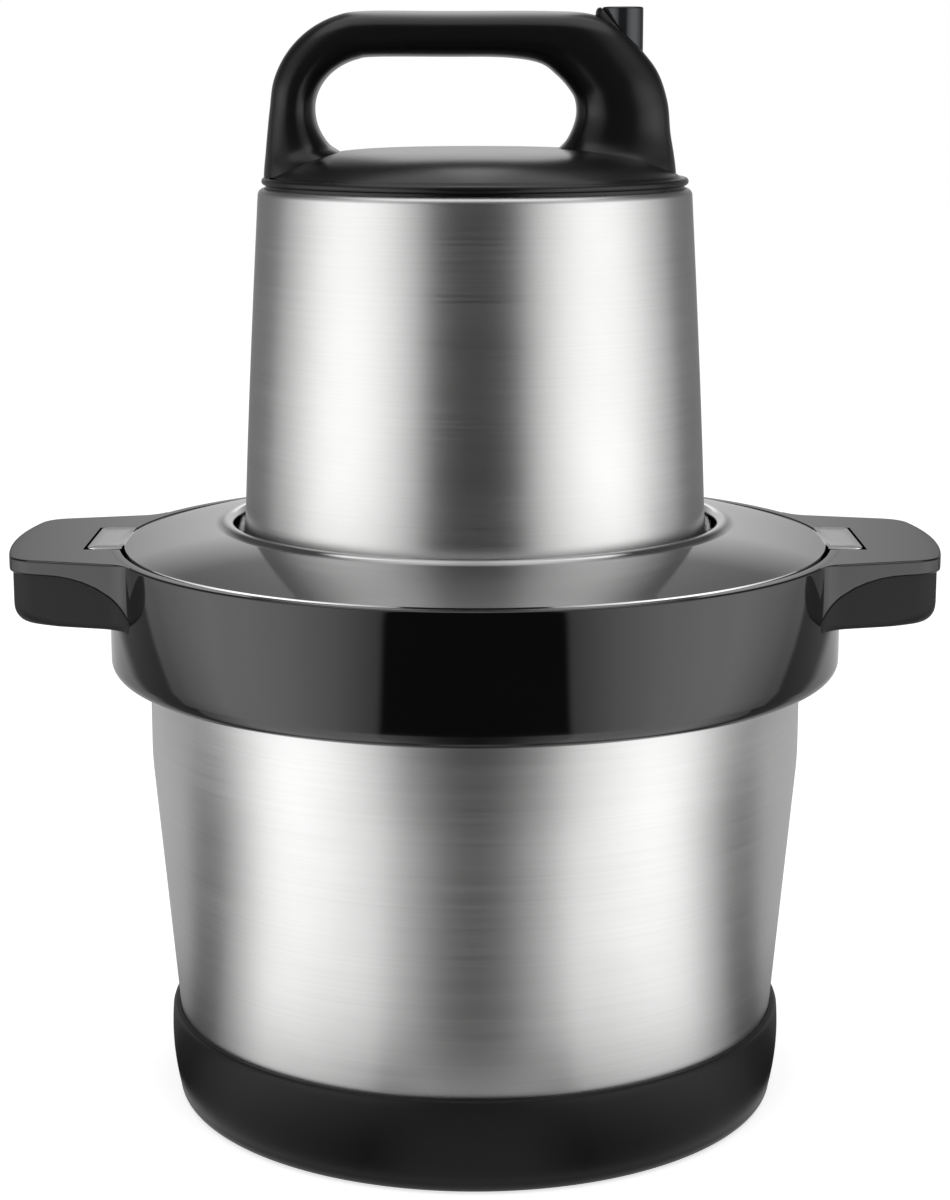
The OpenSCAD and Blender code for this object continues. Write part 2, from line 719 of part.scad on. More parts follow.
// Involute gear outline. extra thickens each tooth, tip and root are whole radii.
pressure = 20;
function involute(base, r) = let (a = acos(min(1, base / r))) tan(a) * 180 / PI - a;
function tooth_half(teeth, r, extra) = let (pitch_r = gear_module * teeth / 2, base = pitch_r * cos(pressure))
    90 / teeth + extra / 2 / pitch_r * 180 / PI + involute(base, pitch_r) - involute(base, max(r, base));
function gear_points(teeth, tip, root, extra) = let (base = gear_module * teeth / 2 * cos(pressure),
    low = max(root, base), steps = 4, radii = [for (k = [0 : steps]) low + (tip - low) * k / steps])
    [for (t = [0 : teeth - 1]) let (mid = t * 360 / teeth) each concat(
        [root * [cos(mid - tooth_half(teeth, low, extra)), sin(mid - tooth_half(teeth, low, extra))]],
        [for (r = radii) let (a = mid - tooth_half(teeth, r, extra)) r * [cos(a), sin(a)]],
        [for (k = [steps : -1 : 0]) let (a = mid + tooth_half(teeth, radii[k], extra))
            radii[k] * [cos(a), sin(a)]],
        [root * [cos(mid + tooth_half(teeth, low, extra)), sin(mid + tooth_half(teeth, low, extra))]])];
function outer_gear(teeth) = let (pitch_r = gear_module * teeth / 2)
    gear_points(teeth, pitch_r + 0.95 * gear_module, pitch_r - 1.2 * gear_module, -backlash);

// Turn that brings a gap instead of a tooth to where the gears meet, needed for an even planet
function mesh_turn(teeth) = planet_teeth % 2 == 0 ? 180 / teeth : 0;

// The ring's gaps are the teeth of a gear of the same count.
module ring_gear() {
    lug_r = 6;
    pitch_r = gear_module * ring_teeth / 2;
    color("#cfd0cb") translate([0, 0, gear_z]) difference() {
        union() {
            cylinder(r = housing_r, h = housing_h);
            at_base_screws() cylinder(r = lug_r, h = base_t);
            rotate(45) translate([-base_screw_r, -3, 0]) cube([2 * base_screw_r, 6, base_t]);
            rotate(-45) translate([-base_screw_r, -3, 0]) cube([2 * base_screw_r, 6, base_t]);
        }
        translate([0, 0, -1]) rotate(mesh_turn(ring_teeth)) linear_extrude(housing_h + 2)
            polygon(gear_points(ring_teeth, pitch_r + 1.2 * gear_module, pitch_r - 0.9 * gear_module,
                backlash));
        translate([0, 0, -1]) cylinder(r = ring_root_r, h = planet_z - gear_z + 0.4);
        at_base_screws() translate([0, 0, -1]) cylinder(r = screw_r + run_gap, h = base_t);
    }
}

// A planet's gap faces the sun, whose tooth points at it.
module planet_gear(k) {
    color("#e8e6dc") rotate(k * 360 / planet_count) translate([orbit_r, 0, planet_z]) difference() {
        rotate(mesh_turn(planet_teeth)) linear_extrude(gear_w) polygon(outer_gear(planet_teeth));
        translate([0, 0, -1]) cylinder(r = pin_r + run_gap, h = gear_w + 2);
        for (z = [-1, gear_w - 1]) translate([0, 0, z]) difference() {
            cylinder(r = gear_module * planet_teeth / 2 - 3.2, h = 2);
            translate([0, 0, -1]) cylinder(r = pin_r + 2, h = 4);
        }
    }
}

module planet_gear_1() {
    planet_gear(0);
}

module planet_gear_2() {
    planet_gear(1);
}

module planet_gear_3() {
    planet_gear(2);
}

module planet_carrier() {
    color("#9fa1a3") difference() {
        union() {
            translate([0, 0, carrier_z]) cylinder(r = carrier_r, h = carrier_t);
            for (k = [0 : planet_count - 1]) rotate(k * 360 / planet_count)
                translate([orbit_r, 0, carrier_z]) {
                    cylinder(r = pin_r, h = planet_z + gear_w + 0.6 - carrier_z);
                    cylinder(r = pin_r + 1.6, h = planet_z - 0.1 - carrier_z);
                }
            translate([0, 0, coupling_top]) cylinder(r = output_r, h = carrier_z - coupling_top);
            translate([0, 0, coupling_top - stub_len]) keyed(stub_key_r, stub_key_r - 1, stub_len + 1);
            translate([0, 0, gear_z - 0.7]) cylinder(r = output_r + 2, h = carrier_z - gear_z + 0.8);
        }
        for (k = [0 : planet_count - 1]) rotate((k + 0.5) * 360 / planet_count)
            translate([orbit_r, 0, carrier_z - 1]) cylinder(r = 5, h = carrier_t + 2);
    }
}

module drive_coupling() {
    color("#8f9193") translate([0, 0, coupling_z]) difference() {
        union() {
            cylinder(r = coupling_r, h = coupling_top - coupling_z - 3);
            cylinder(r = coupling_r - 3, h = coupling_top - coupling_z);
        }
        translate([0, 0, -1]) hexagon(drive_af + 2 * free_gap, socket_d + 1);
        translate([0, 0, socket_d + 2]) keyed(stub_key_r + run_gap, stub_key_r - 1 + run_gap, stub_len + 1);
        translate([0, 0, -0.01]) cylinder(r1 = drive_af / 2 + 3, r2 = drive_af / 2, h = 3);
    }
}

// Motor: two brackets, stator, coils, bolts, brushes, rotor and fan
module at_bolts() {
    for (x = [-1, 1], y = [-1, 1]) translate([x * bolt_at[0], y * bolt_at[1], 0]) children();
}

module bracket_plan() {
    intersection() {
        circle(r = norm(bolt_at) + 6);
        union() {
            circle(r = armature_r + 9);
            for (a = [-1, 1]) rotate(a * atan2(bolt_at[1], bolt_at[0]))
                square([2 * norm(bolt_at) + 12, 14], center = true);
        }
    }
}

module lower_bracket() {
    color("#b9bbbd") difference() {
        union() {
            translate([0, 0, lower_bracket_z]) linear_extrude(bracket_t) bracket_plan();
            translate([0, 0, lower_bracket_z]) cylinder(r = housing_r, h = 2.5);
            translate([0, 0, lower_bracket_z]) cylinder(r = small_bearing[0] + 3, h = small_bearing[2] + 3);
            at_bolts() translate([0, 0, lower_bracket_z])
                cylinder(r = bolt_r + 3, h = stator_z - lower_bracket_z);
        }
        translate([0, 0, lower_bearing_z]) cylinder(r = small_bearing[0] + run_gap, h = small_bearing[2] + 1);
        translate([0, 0, lower_bracket_z - 1]) cylinder(r = gear_module * (sun_teeth / 2 + 1) + 1, h = 6);
        at_bolts() translate([0, 0, lower_bracket_z + 2]) cylinder(r = bolt_r + run_gap, h = stator_z);
        for (k = [0 : 3]) rotate(90 * k) translate([armature_r + 1, 0, lower_bracket_z - 1])
            cylinder(r = 5, h = bracket_t + 3);
    }
}

upper_plate_z = upper_bearing_z + 4;
brush_top = commutator_z + commutator_h - 0.5;
module upper_bracket() {
    lug_w = 14;
    color("#b9bbbd") difference() {
        union() {
            translate([0, 0, upper_plate_z]) linear_extrude(bracket_t) bracket_plan();
            translate([0, 0, upper_bracket_z + 1])
                cylinder(r = small_bearing[0] + 3, h = small_bearing[2] + 4);
            at_bolts() translate([0, 0, stator_top])
                cylinder(r = bolt_r + 3, h = upper_plate_z + 1 - stator_top);
            for (s = [-1, 1]) translate([-lug_w / 2, s * (commutator_r + 16) - 6, brush_top])
                cube([lug_w, 12, upper_plate_z + 0.5 - brush_top]);
        }
        translate([0, 0, upper_bracket_z]) cylinder(r = small_bearing[0] + run_gap,
            h = upper_bearing_z + small_bearing[2] - upper_bracket_z);
        at_bolts() translate([0, 0, stator_top - 1])
            cylinder(r = bolt_r + run_gap, h = upper_plate_z + bracket_t + 2 - stator_top);
    }
}

module motor_bolts() {
    color("#8d8f91") at_bolts() {
        translate([0, 0, lower_bracket_z + 2.2])
            cylinder(r = bolt_r, h = upper_plate_z + bracket_t - lower_bracket_z);
        translate([0, 0, upper_plate_z + bracket_t]) hexagon(3.5 * bolt_r, 3);
    }
}

module stator_core() {
    color("#5c6065") translate([0, 0, stator_z]) linear_extrude(stator_h) difference() {
        intersection() {
            square([2 * stator_x, 2 * stator_y], center = true);
            circle(r = norm([stator_x, stator_y]) - 5);
        }
        circle(r = armature_r + air_gap);
        for (x = [-1, 1], y = [-1, 1]) translate([x * (slot_in + slot_out) / 2, y * 15])
            square([slot_out - slot_in, 18], center = true);
        for (x = [-1, 1], y = [-1, 1]) translate([x * bolt_at[0], y * bolt_at[1]])
            circle(r = bolt_r + run_gap);
    }
}

module field_coils() {
    wide = slot_out - slot_in - 2 * seat_gap;
    end_y = armature_r + 1.6;
    end_w = stator_y - end_y - 9.5;
    color("#a8562a") for (s = [0, 1]) mirror([0, s, 0]) {
        for (x = [-1, 1]) translate([x * (slot_in + slot_out) / 2 - wide / 2, 6.2, stator_z - coil_h])
            cube([wide, 17.6, stator_h + 2 * coil_h]);
        for (z = [stator_z - coil_h, stator_top + 0.2]) {
            translate([-(slot_in + slot_out) / 2, end_y, z]) cube([slot_in + slot_out, end_w, coil_h - 0.2]);
            for (x = [-1, 1]) translate([x * (slot_in + slot_out) / 2 - wide / 2, end_y - 2, z])
                cube([wide, end_w + 2, coil_h - 0.2]);
        }
    }
}

brush_z = commutator_z + 1.5;
brush_h = commutator_h - 4;
brush_w = 7;
brush_l = 22;
holder_l = 24;
holder_t = 1.3;
module brush_holders() {
    wide = brush_w + 2 * seat_gap + 2 * holder_t;
    low = brush_z - 1.4;
    color("#c2a04a") for (s = [0, 180]) rotate(s) translate([-wide / 2, commutator_r + 3, low]) difference() {
        cube([wide, holder_l, brush_top - 0.2 - low]);
        translate([holder_t, -1, brush_z - seat_gap - low])
            cube([brush_w + 2 * seat_gap, holder_l, brush_h + 2 * seat_gap]);
    }
}

module carbon_brushes() {
    color("#2c2c2e") for (s = [0, 180]) rotate(s) translate([-brush_w / 2, commutator_r + 0.3, brush_z])
        cube([brush_w, brush_l, brush_h]);
}

module rotor_shaft() {
    color("#b4b6b8") union() {
        translate([0, 0, planet_z - 0.3]) linear_extrude(gear_w + 0.6) polygon(outer_gear(sun_teeth));
        translate([0, 0, planet_z + 1])
            cylinder(r = shaft_r, h = upper_bearing_z + small_bearing[2] - planet_z - 2);
    }
}

slot_count = 12;
module armature_core() {
    color("#6a6e73") translate([0, 0, stator_z]) linear_extrude(stator_h) difference() {
        circle(r = armature_r);
        circle(r = shaft_r + run_gap);
        for (k = [0 : slot_count - 1]) rotate(k * 360 / slot_count) {
            translate([armature_r - 7, 0]) circle(r = 3);
            translate([armature_r - 6, -1]) square([8, 2]);
        }
    }
}

module armature_windings() {
    color("#b8622e") union() {
        for (z = [stator_z - coil_h + 0.6, stator_top]) translate([0, 0, z])
            tube(armature_r - 4.2, shaft_r + 2, coil_h - 0.6);
        for (k = [0 : slot_count - 1]) rotate(k * 360 / slot_count)
            translate([armature_r - 7, 0, stator_z - 1]) cylinder(r = 2.4, h = stator_h + 2);
    }
}

module commutator() {
    bars = 24;
    color("#b87333") translate([0, 0, commutator_z]) difference() {
        union() {
            cylinder(r = commutator_r, h = commutator_h);
            translate([0, 0, -2.6]) cylinder(r = commutator_r - 3, h = 3);
        }
        translate([0, 0, -4]) cylinder(r = shaft_r + run_gap, h = commutator_h + 6);
        for (k = [0 : bars - 1]) rotate(k * 360 / bars)
            translate([commutator_r - 1, -0.3, -1]) cube([2, 0.6, commutator_h + 2]);
    }
}

module cooling_fan() {
    fan_r = stator_y - 3;
    vanes = 11;
    color("#3b3d40") translate([0, 0, fan_z]) difference() {
        union() {
            cylinder(r = fan_r, h = 1.6);
            cylinder(r = shaft_r + 5, h = fan_h);
            for (k = [0 : vanes - 1]) rotate(k * 360 / vanes) linear_extrude(fan_h) intersection() {
                translate([0, -fan_r * 0.7]) difference() {
                    circle(r = fan_r * 0.9);
                    circle(r = fan_r * 0.9 - 1.3);
                }
                difference() {
                    circle(r = fan_r);
                    circle(r = fan_r * 0.5);
                }
                square([fan_r, fan_r]);
            }
        }
        translate([0, 0, -1]) cylinder(r = shaft_r + run_gap, h = fan_h + 2);
    }
}

// Cap of the head: bead, groove and domed deck, with a skirt inside the sleeve's opening
function dome_z(r) = dome_rise * (1 - pow(r / deck_r, 5));
function deck_line(out_r, lower) =
    [for (k = [0 : 8]) let (r = out_r * cos(90 * k / 8)) [r, deck_z - lower + dome_z(r)]];
module top_cap() {
    skirt_r = cap_hole_r - seat_gap;
    color("#1b1b1c") difference() {
        union() {
            at_loop_bolts() translate([0, 0, cap_boss_z]) cylinder(r = screw_head_r + 1, h = shell_t);
            revolve(concat([[skirt_r, sleeve_top - 6], [skirt_r, sleeve_top], [bead_r - 1.4, sleeve_top],
            [bead_r - 1.4, sleeve_top + 0.9]],
            arc([bead_r - 1.3, sleeve_top + 2.3], 1.3, -70, 80, 5),
            [[deck_r + 0.5, deck_z - 0.5]],
            deck_line(deck_r, 0), [for (p = [8 : -1 : 0]) deck_line(skirt_r - shell_t, shell_t)[p]],
            [[skirt_r - shell_t, sleeve_top - 6]]));
        }
        at_loop_bolts() translate([0, 0, sleeve_top - 8]) cylinder(r = screw_r + seat_gap, h = 60);
        translate([button_x - 6, 0, sleeve_top - 8]) cylinder(r = 4, h = 40);
    }
}

// Screws from inside the cap up into both feet of the carry handle
loop_bolt_x = cap_hole_r - 7.5;
cap_boss_z = deck_z - shell_t + dome_z(loop_bolt_x) - 1.6;
module at_loop_bolts() {
    for (x = [-loop_bolt_x, loop_bolt_x]) translate([x, 0, 0]) children();
}

module cap_screws() {
    color("#8d8f91") at_loop_bolts() translate([0, 0, cap_boss_z - screw_head_h]) screw(10.5);
}

// Outline of the carry handle: [outer x, outer z, inner x, inner z, half depth]
deep = loop_depth / 2;
shoulder = [button_x + button_r, grip_z - 13.6];
corner_z = open_top - open_round;
function low_left(a) = [open_left + open_round * (1 - cos(a)), corner_z - open_round * sin(a)];
function low_right(a) = [open_right - open_round * (1 - cos(a)), corner_z - open_round * sin(a)];
loop_rows = concat(
    [[-foot_left - 0.4, loop_base, open_left + 16, deck_z - 2, deep + 9],
        concat([-foot_left, column_z - 2], low_left(62), [deep + 6]),
        concat([-foot_left + 0.6, column_z + 4], low_left(42), [deep + 3]),
        concat([-foot_left + 1.3, column_z + 11], low_left(20), [deep + 1])],
    [for (k = [0 : 5]) let (a = 180 - 18 * k) concat(left_c + left_round * [cos(a), sin(a)],
        [open_left + 21 + 21 * cos(a), corner_z + open_round * sin(a), deep])],
    [[-10, grip_z, -10, open_top, deep], [24, grip_z, 10, open_top - 0.2, deep]],
    [[shoulder[0] - 18, grip_z - 1, open_right - 13, open_top - 2, deep],
        [shoulder[0] - 8, grip_z - 5.2, open_right - 7, open_top - 6, deep],
        [shoulder[0], shoulder[1], open_right - 2.4, open_top - 11, deep],
        [shoulder[0] + 5.4, shoulder[1] - 7.4, open_right - 0.4, open_top - 15, deep],
        [shoulder[0] + 8.6, shoulder[1] - 17, open_right - 0.3, corner_z - 3, deep],
        concat([foot_right - 2.4, column_z + 11], low_right(32), [deep + 1]),
        concat([foot_right - 1.2, column_z + 4], low_right(48), [deep + 3]),
        concat([foot_right - 0.4, column_z - 2], low_right(64), [deep + 6]),
        [foot_right, loop_base, open_right - 16, deck_z - 2, deep + 9]]);

// Ring of a station: a superellipse across the bar, thinner by the wall where wall is given
function loop_ring(row, wall) = let (o = [row[0], row[1]], i = [row[2], row[3]], c = (o + i) / 2,
    a = norm(o - i) / 2 - wall, b = row[4] - wall, d = unit(o - i))
    [for (k = [0 : 23]) let (t = k * 15, x = a * sign(cos(t)) * pow(abs(cos(t)), 0.8),
        y = b * sign(sin(t)) * pow(abs(sin(t)), 0.8)) [c[0] + d[0] * x, y, c[1] + d[1] * x]];

module loop_solid() {
    loft([for (row = spline(loop_rows, 2)) loop_ring(row, 0)]);
}

module loop_cavity() {
    rows = spline(loop_rows, 2);
    loft([for (k = [7 : len(rows) - 4]) loop_ring(rows[k], shell_t)]);
}

// The domed deck, as the cut that seats the feet on it
module deck_cut() {
    revolve(concat([[0, loop_base - 20], [bead_r + 12, loop_base - 20], [bead_r + 12, deck_z + 0.1]],
        deck_line(deck_r, -0.1)));
}

// Screws that draw the two halves of the handle together from behind
loop_screws = [[-foot_left + 9.6, column_z + 14], [2, grip_z - loop_grip / 2],
    [open_right + 0.6, grip_z - 10]];
pocket_y = 7;
module at_loop_screws() {
    for (p = loop_screws) translate([p[0], 0, p[1]]) rotate([90, 0, 0]) children();
}

switch_size = [22, 11, 11];
switch_z = deck_z + dome_rise + 1.4;
stem_z = switch_z + switch_size[2] + 6.4;
guard_r = button_r + 2.4;

// Raised guard that hugs the button on the grip's side and dies away down the shoulder
module button_guard() {
    guard_top = grip_z + button_rise - 0.2;
    intersection() {
        translate([button_x, 0, guard_top - 14]) union() {
            cylinder(r = guard_r, h = 12);
            translate([0, 0, 12]) cylinder(r1 = guard_r, r2 = button_r + free_gap + 0.4, h = 2);
        }
        translate([button_x - button_r - 0.6, 0, guard_top]) rotate([0, 50, 0]) translate([-30, -20, -40])
            cube([80, 40, 40]);
    }
}

// What stands inside the hollow: screw bosses, button guide and switch floor
module loop_ribs() {
    at_loop_screws() cylinder(r = screw_r + 2, h = 60, center = true);
    translate([button_x, 0, stem_z + 4.4]) cylinder(r = guard_r, h = 40);
    translate([low_right(90)[0], -2 * deep, loop_base])
        cube([bead_r, 4 * deep, switch_z - 0.1 - loop_base]);
}

module loop_half(side) {
    $fn = 32;
    intersection() {
        translate([-bead_r, side > 0 ? 0 : -bead_r, loop_base - 1]) cube([2 * bead_r, bead_r, 2 * loop_rise]);
        difference() {
            union() {
                loop_solid();
                button_guard();
            }
            difference() {
                loop_cavity();
                loop_ribs();
            }
            deck_cut();
            translate([button_x, 0, stem_z]) cylinder(r = button_r + free_gap, h = 80);
            at_loop_bolts() translate([0, 0, sleeve_top]) cylinder(r = screw_r + seat_gap, h = 16);
            translate([button_x - 6, 0, loop_base]) cylinder(r = 3, h = switch_z - loop_base + 1);
            at_loop_screws() cylinder(r = screw_r + seat_gap, h = 2 * pocket_y + 2, center = true);
        }
    }
}

module handle_front_shell() {
    color("#161617") loop_half(-1);
}

inlet_z = column_z + 14;
inlet_x = button_x + 4;
inlet_r = 5;
inlet_face = deep + 5;
module handle_rear_shell() {
    $fn = 32;
    color("#161617") difference() {
        union() {
            loop_half(1);
            translate([inlet_x, deep - 4, inlet_z]) rotate([-90, 0, 0])
                cylinder(r = inlet_r + 2.6, h = inlet_face - deep + 4);
        }
        translate([inlet_x, deep - 8, inlet_z]) rotate([-90, 0, 0]) cylinder(r = inlet_r, h = 20);
        at_loop_screws() translate([0, 0, -pocket_y - 40]) cylinder(r = screw_head_r + seat_gap, h = 40);
    }
}

module handle_screws() {
    color("#8d8f91") at_loop_screws() translate([0, 0, -pocket_y - screw_head_h])
        screw(pocket_y + screw_head_h + 5);
}

// Rubber bush for a cable, open and empty
module cord_inlet() {
    bore = 3.2;
    neck = inlet_r - seat_gap;
    low = -inlet_face + deep - 4.5;
    color("#1d1d1e") translate([inlet_x, inlet_face, inlet_z]) rotate([-90, 0, 0]) revolve([
        [bore, low], [neck, low], [neck, 0], [inlet_r + 3, 0], [inlet_r + 3, 1.4],
        [inlet_r + 2, 2.2], [inlet_r, 6], [bore, 6]]);
}

module micro_switch() {
    plunger_r = 2;
    color("#7a2320") translate([button_x, 0, switch_z]) difference() {
        translate([-switch_size[0] / 2, -switch_size[1] / 2, 0]) cube(switch_size);
        translate([0, 0, switch_size[2] - button_travel - 2]) cylinder(r = plunger_r + free_gap, h = 30);
        for (x = [-1, 1]) translate([x * (switch_size[0] / 2 - 3), 0, switch_size[2] / 2]) rotate([90, 0, 0])
            cylinder(r = 1.4, h = 30, center = true);
    }
}

module switch_plunger() {
    low = switch_z + switch_size[2] - 1.5;
    color("#d9d4c8") translate([button_x, 0, low]) cylinder(r = 2, h = stem_z - low);
}

module push_button() {
    color("#55575a") translate([button_x, 0, 0]) union() {
        translate([0, 0, stem_z]) cylinder(r = guard_r, h = 4);
        translate([0, 0, stem_z]) cylinder(r = button_r, h = grip_z + button_rise - stem_z - 0.6);
        translate([0, 0, grip_z + button_rise - 0.7]) cylinder(r1 = button_r, r2 = button_r - 0.6, h = 0.7);
    }
}

// Compression spring between switch and button, wound round the plunger
module button_spring() {
    wire = 0.4;
    coil_r = 4;
    turns = 3;
    steps = 16;
    low = switch_z + switch_size[2] + wire + 0.1;
    lift = stem_z - 2 * wire - 0.2 - switch_z - switch_size[2];
    color("#b4b6b8") translate([button_x, 0, low]) loft([for (k = [0 : turns * steps])
        let (a = k * 360 / steps, z = lift * k / turns / steps)
        [for (q = [0 : 7]) let (r = coil_r + wire * cos(q * 45))
            [r * cos(a), r * sin(a), z + wire * sin(q * 45)]]]);
}

base_ring();
bowl();
bowl_spindle();
spindle_nut();
collar();
handle_cover_left();
handle_cover_right();
cover_screws();
blade_hub();
hub_bushes();
upper_blades();
blade_spacer();
lower_blades();
blade_nut();
lid_dish();
lid_seal();
motor_sleeve();
motor_base();
base_screws();
top_cap();
cap_screws();
handle_front_shell();
handle_rear_shell();
handle_screws();
cord_inlet();
micro_switch();
button_spring();
push_button();
switch_plunger();
output_bearing();
output_seal();
ring_gear();
lower_bracket();
lower_bearing();
stator_core();
field_coils();
upper_bracket();
upper_bearing();
motor_bolts();
brush_holders();
carbon_brushes();
rotor_shaft();
armature_core();
armature_windings();
commutator();
cooling_fan();
planet_carrier();
drive_coupling();
planet_gear_1();
planet_gear_2();
planet_gear_3();
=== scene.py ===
import json
import math

import bmesh
import bpy
import numpy as np
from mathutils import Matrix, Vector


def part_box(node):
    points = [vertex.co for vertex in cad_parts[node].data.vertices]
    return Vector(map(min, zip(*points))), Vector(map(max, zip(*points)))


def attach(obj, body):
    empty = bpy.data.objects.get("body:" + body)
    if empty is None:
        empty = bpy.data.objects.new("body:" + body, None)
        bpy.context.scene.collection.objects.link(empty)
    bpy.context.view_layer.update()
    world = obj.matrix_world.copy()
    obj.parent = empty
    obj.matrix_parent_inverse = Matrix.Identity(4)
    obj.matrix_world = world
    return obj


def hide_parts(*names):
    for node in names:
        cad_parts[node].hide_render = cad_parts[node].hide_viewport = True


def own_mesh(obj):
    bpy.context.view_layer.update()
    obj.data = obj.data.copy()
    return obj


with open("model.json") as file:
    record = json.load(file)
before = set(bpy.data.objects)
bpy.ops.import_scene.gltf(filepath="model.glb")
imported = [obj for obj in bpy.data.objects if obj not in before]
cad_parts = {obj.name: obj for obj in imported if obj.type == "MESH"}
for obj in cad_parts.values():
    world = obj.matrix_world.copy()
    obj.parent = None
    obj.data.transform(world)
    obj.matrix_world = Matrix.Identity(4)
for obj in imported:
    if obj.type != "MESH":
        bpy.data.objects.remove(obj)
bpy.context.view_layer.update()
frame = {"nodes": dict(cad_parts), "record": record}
nodes = frame["nodes"]
print("frame:", len(nodes), "solids loaded")

# Sizes below are millimetres in the frame's own axes: +Z up, the front faces -Y.


# curves and grids

mergeWithin = 2e-6  # metres: points nearer to each other become one


def sizesOf(piece, *names):
    # several of a piece's sizes at once
    return [piece[name] for name in names]


def arcPoints(centre, radius, start, end, steps):
    # centre + radius * (cos a, sin a), with a running evenly from start to end in degrees
    a = np.radians(np.linspace(start, end, steps))
    return np.column_stack((centre[0] + radius * np.cos(a), centre[1] + radius * np.sin(a)))


def linePoints(start, end, steps):
    # start * (1 - u) + end * u, u even from 0 to 1
    u = np.linspace(0, 1, steps)[:, None]
    return np.asarray(start, float) * (1 - u) + np.asarray(end, float) * u


def sheetOutline(path, thickness):
    # the path, then the same path moved to its left by the thickness along mitred normals, backwards
    path = path[np.r_[True, np.linalg.norm(np.diff(path, axis=0), axis=1) > 1e-6]]
    heading = np.diff(path, axis=0)
    heading /= np.linalg.norm(heading, axis=1)[:, None]
    normal = np.column_stack((-heading[:, 1], heading[:, 0]))
    before, after = np.vstack((normal[:1], normal)), np.vstack((normal, normal[-1:]))
    mitre = before + after
    mitre /= (mitre * after).sum(1)[:, None]
    return np.vstack((path, (path + thickness * mitre)[::-1]))


def curveThrough(rows, steps):
    # Catmull-Rom: each stretch is the cubic that passes its two rows with slopes (next - previous) / 2
    rows = np.asarray(rows, float)
    u = (np.arange(steps) / steps)[None, :, None]
    before = np.vstack((rows[:1], rows[:-2]))[:, None]
    start, end = rows[:-1, None], rows[1:, None]
    after = np.vstack((rows[2:], rows[-1:]))[:, None]
    cubic = (start + u * (end - before) / 2 + u ** 2 * (2 * before - 5 * start + 4 * end - after) / 2
             + u ** 3 * (3 * start - before - 3 * end + after) / 2)
    return np.vstack((cubic.reshape(-1, rows.shape[1]), rows[-1:]))


def gridFaces(rows, cols, closeRows=False, closeCols=False):
    # quad (i, j) joins a grid point with its next neighbours along both directions
    i, j = np.meshgrid(np.arange(rows if closeRows else rows - 1),
                       np.arange(cols if closeCols else cols - 1), indexing="ij")
    i, j = i.ravel(), j.ravel()
    iNext, jNext = (i + 1) % rows, (j + 1) % cols
    return np.column_stack((i * cols + j, i * cols + jNext, iNext * cols + jNext, iNext * cols + j))


def tidyMesh(mesh):
    # doubles merged, open rims filled, faces turned outwards
    form = bmesh.new()
    form.from_mesh(mesh)
    bmesh.ops.remove_doubles(form, verts=form.verts, dist=mergeWithin)
    bmesh.ops.dissolve_degenerate(form, edges=form.edges, dist=mergeWithin / 4)
    rims = [e for e in form.edges if e.is_boundary]
    if rims:
        bmesh.ops.holes_fill(form, edges=rims, sides=0)
    bmesh.ops.recalc_face_normals(form, faces=form.faces)
    form.to_mesh(mesh)
    form.free()


def placed(name, data):
    # an object made of the data, in the scene
    obj = bpy.data.objects.new(name, data)
    bpy.context.scene.collection.objects.link(obj)
    return obj


def surface(name, points, closeRows=False, closeCols=False):
    # a grid of points (rows, cols, 3) in millimetres made into a closed object
    rows, cols = points.shape[:2]
    faces = gridFaces(rows, cols, closeRows, closeCols)
    mesh = bpy.data.meshes.new(name)
    mesh.vertices.add(rows * cols)
    mesh.vertices.foreach_set("co", (points.reshape(-1, 3) * 0.001).astype(np.float32).ravel())
    mesh.loops.add(faces.size)
    mesh.loops.foreach_set("vertex_index", faces.astype(np.int32).ravel())
    mesh.polygons.add(len(faces))
    mesh.polygons.foreach_set("loop_start", np.arange(0, faces.size, 4, dtype=np.int32))
    mesh.update(calc_edges=True)
    tidyMesh(mesh)
    return placed(name, mesh)


def turned(name, profile, segments=256, place=None):
    # (r cos t, r sin t, z) for each profile point (r, z), t round the axis; place moves it onto another axis
    t = np.linspace(0, 2 * math.pi, segments, endpoint=False)
    r, z = profile[:, 0][:, None], profile[:, 1][:, None]
    points = np.stack((r * np.cos(t), r * np.sin(t), z + 0 * t), axis=2)
    return surface(name, place(points) if place else points, closeRows=True, closeCols=True)


def upright(x, y=0.0):
    # an axis parallel to Z at this x and y
    return lambda p: p + np.array((x, y, 0))


def lyingBack(x, z):
    # an axis parallel to Y: the profile's height becomes y
    return lambda p: np.stack((p[..., 0] + x, p[..., 2], p[..., 1] + z), axis=2)


def cylinderCutter(radius, low, high, place, segments=64):
    # a full cylinder between two heights on the given axis, to cut with
    return turned("cutter", np.array(((0, low), (radius, low), (radius, high), (0, high))), segments, place)


def carve(obj, cutters):
    # each cutter in turn taken off by an exact boolean, baked into the mesh
    for cutter in cutters:
        step = obj.modifiers.new("cut", "BOOLEAN")
        step.operation, step.solver, step.object = "DIFFERENCE", "EXACT", cutter
        bpy.context.view_layer.update()
        mesh = bpy.data.meshes.new_from_object(obj.evaluated_get(bpy.context.evaluated_depsgraph_get()))
        obj.modifiers.clear()
        obj.data = mesh
        bpy.data.objects.remove(cutter)
    return obj


def joined(name, parts):
    # one object from several, each part staying a closed shell of its own
    form = bmesh.new()
    for part in parts:
        form.from_mesh(part.data)
        bpy.data.objects.remove(part)
    mesh = bpy.data.meshes.new(name)
    form.to_mesh(mesh)
    form.free()
    return placed(name, mesh)


def mirroredCopy(name, obj):
    # the same mesh with x turned to -x, and its faces turned back outwards
    mesh = obj.data.copy()
    mesh.name = name
    co = np.empty(len(mesh.vertices) * 3, np.float32)
    mesh.vertices.foreach_get("co", co)
    co[0::3] *= -1
    mesh.vertices.foreach_set("co", co)
    mesh.flip_normals()
    return placed(name, mesh)


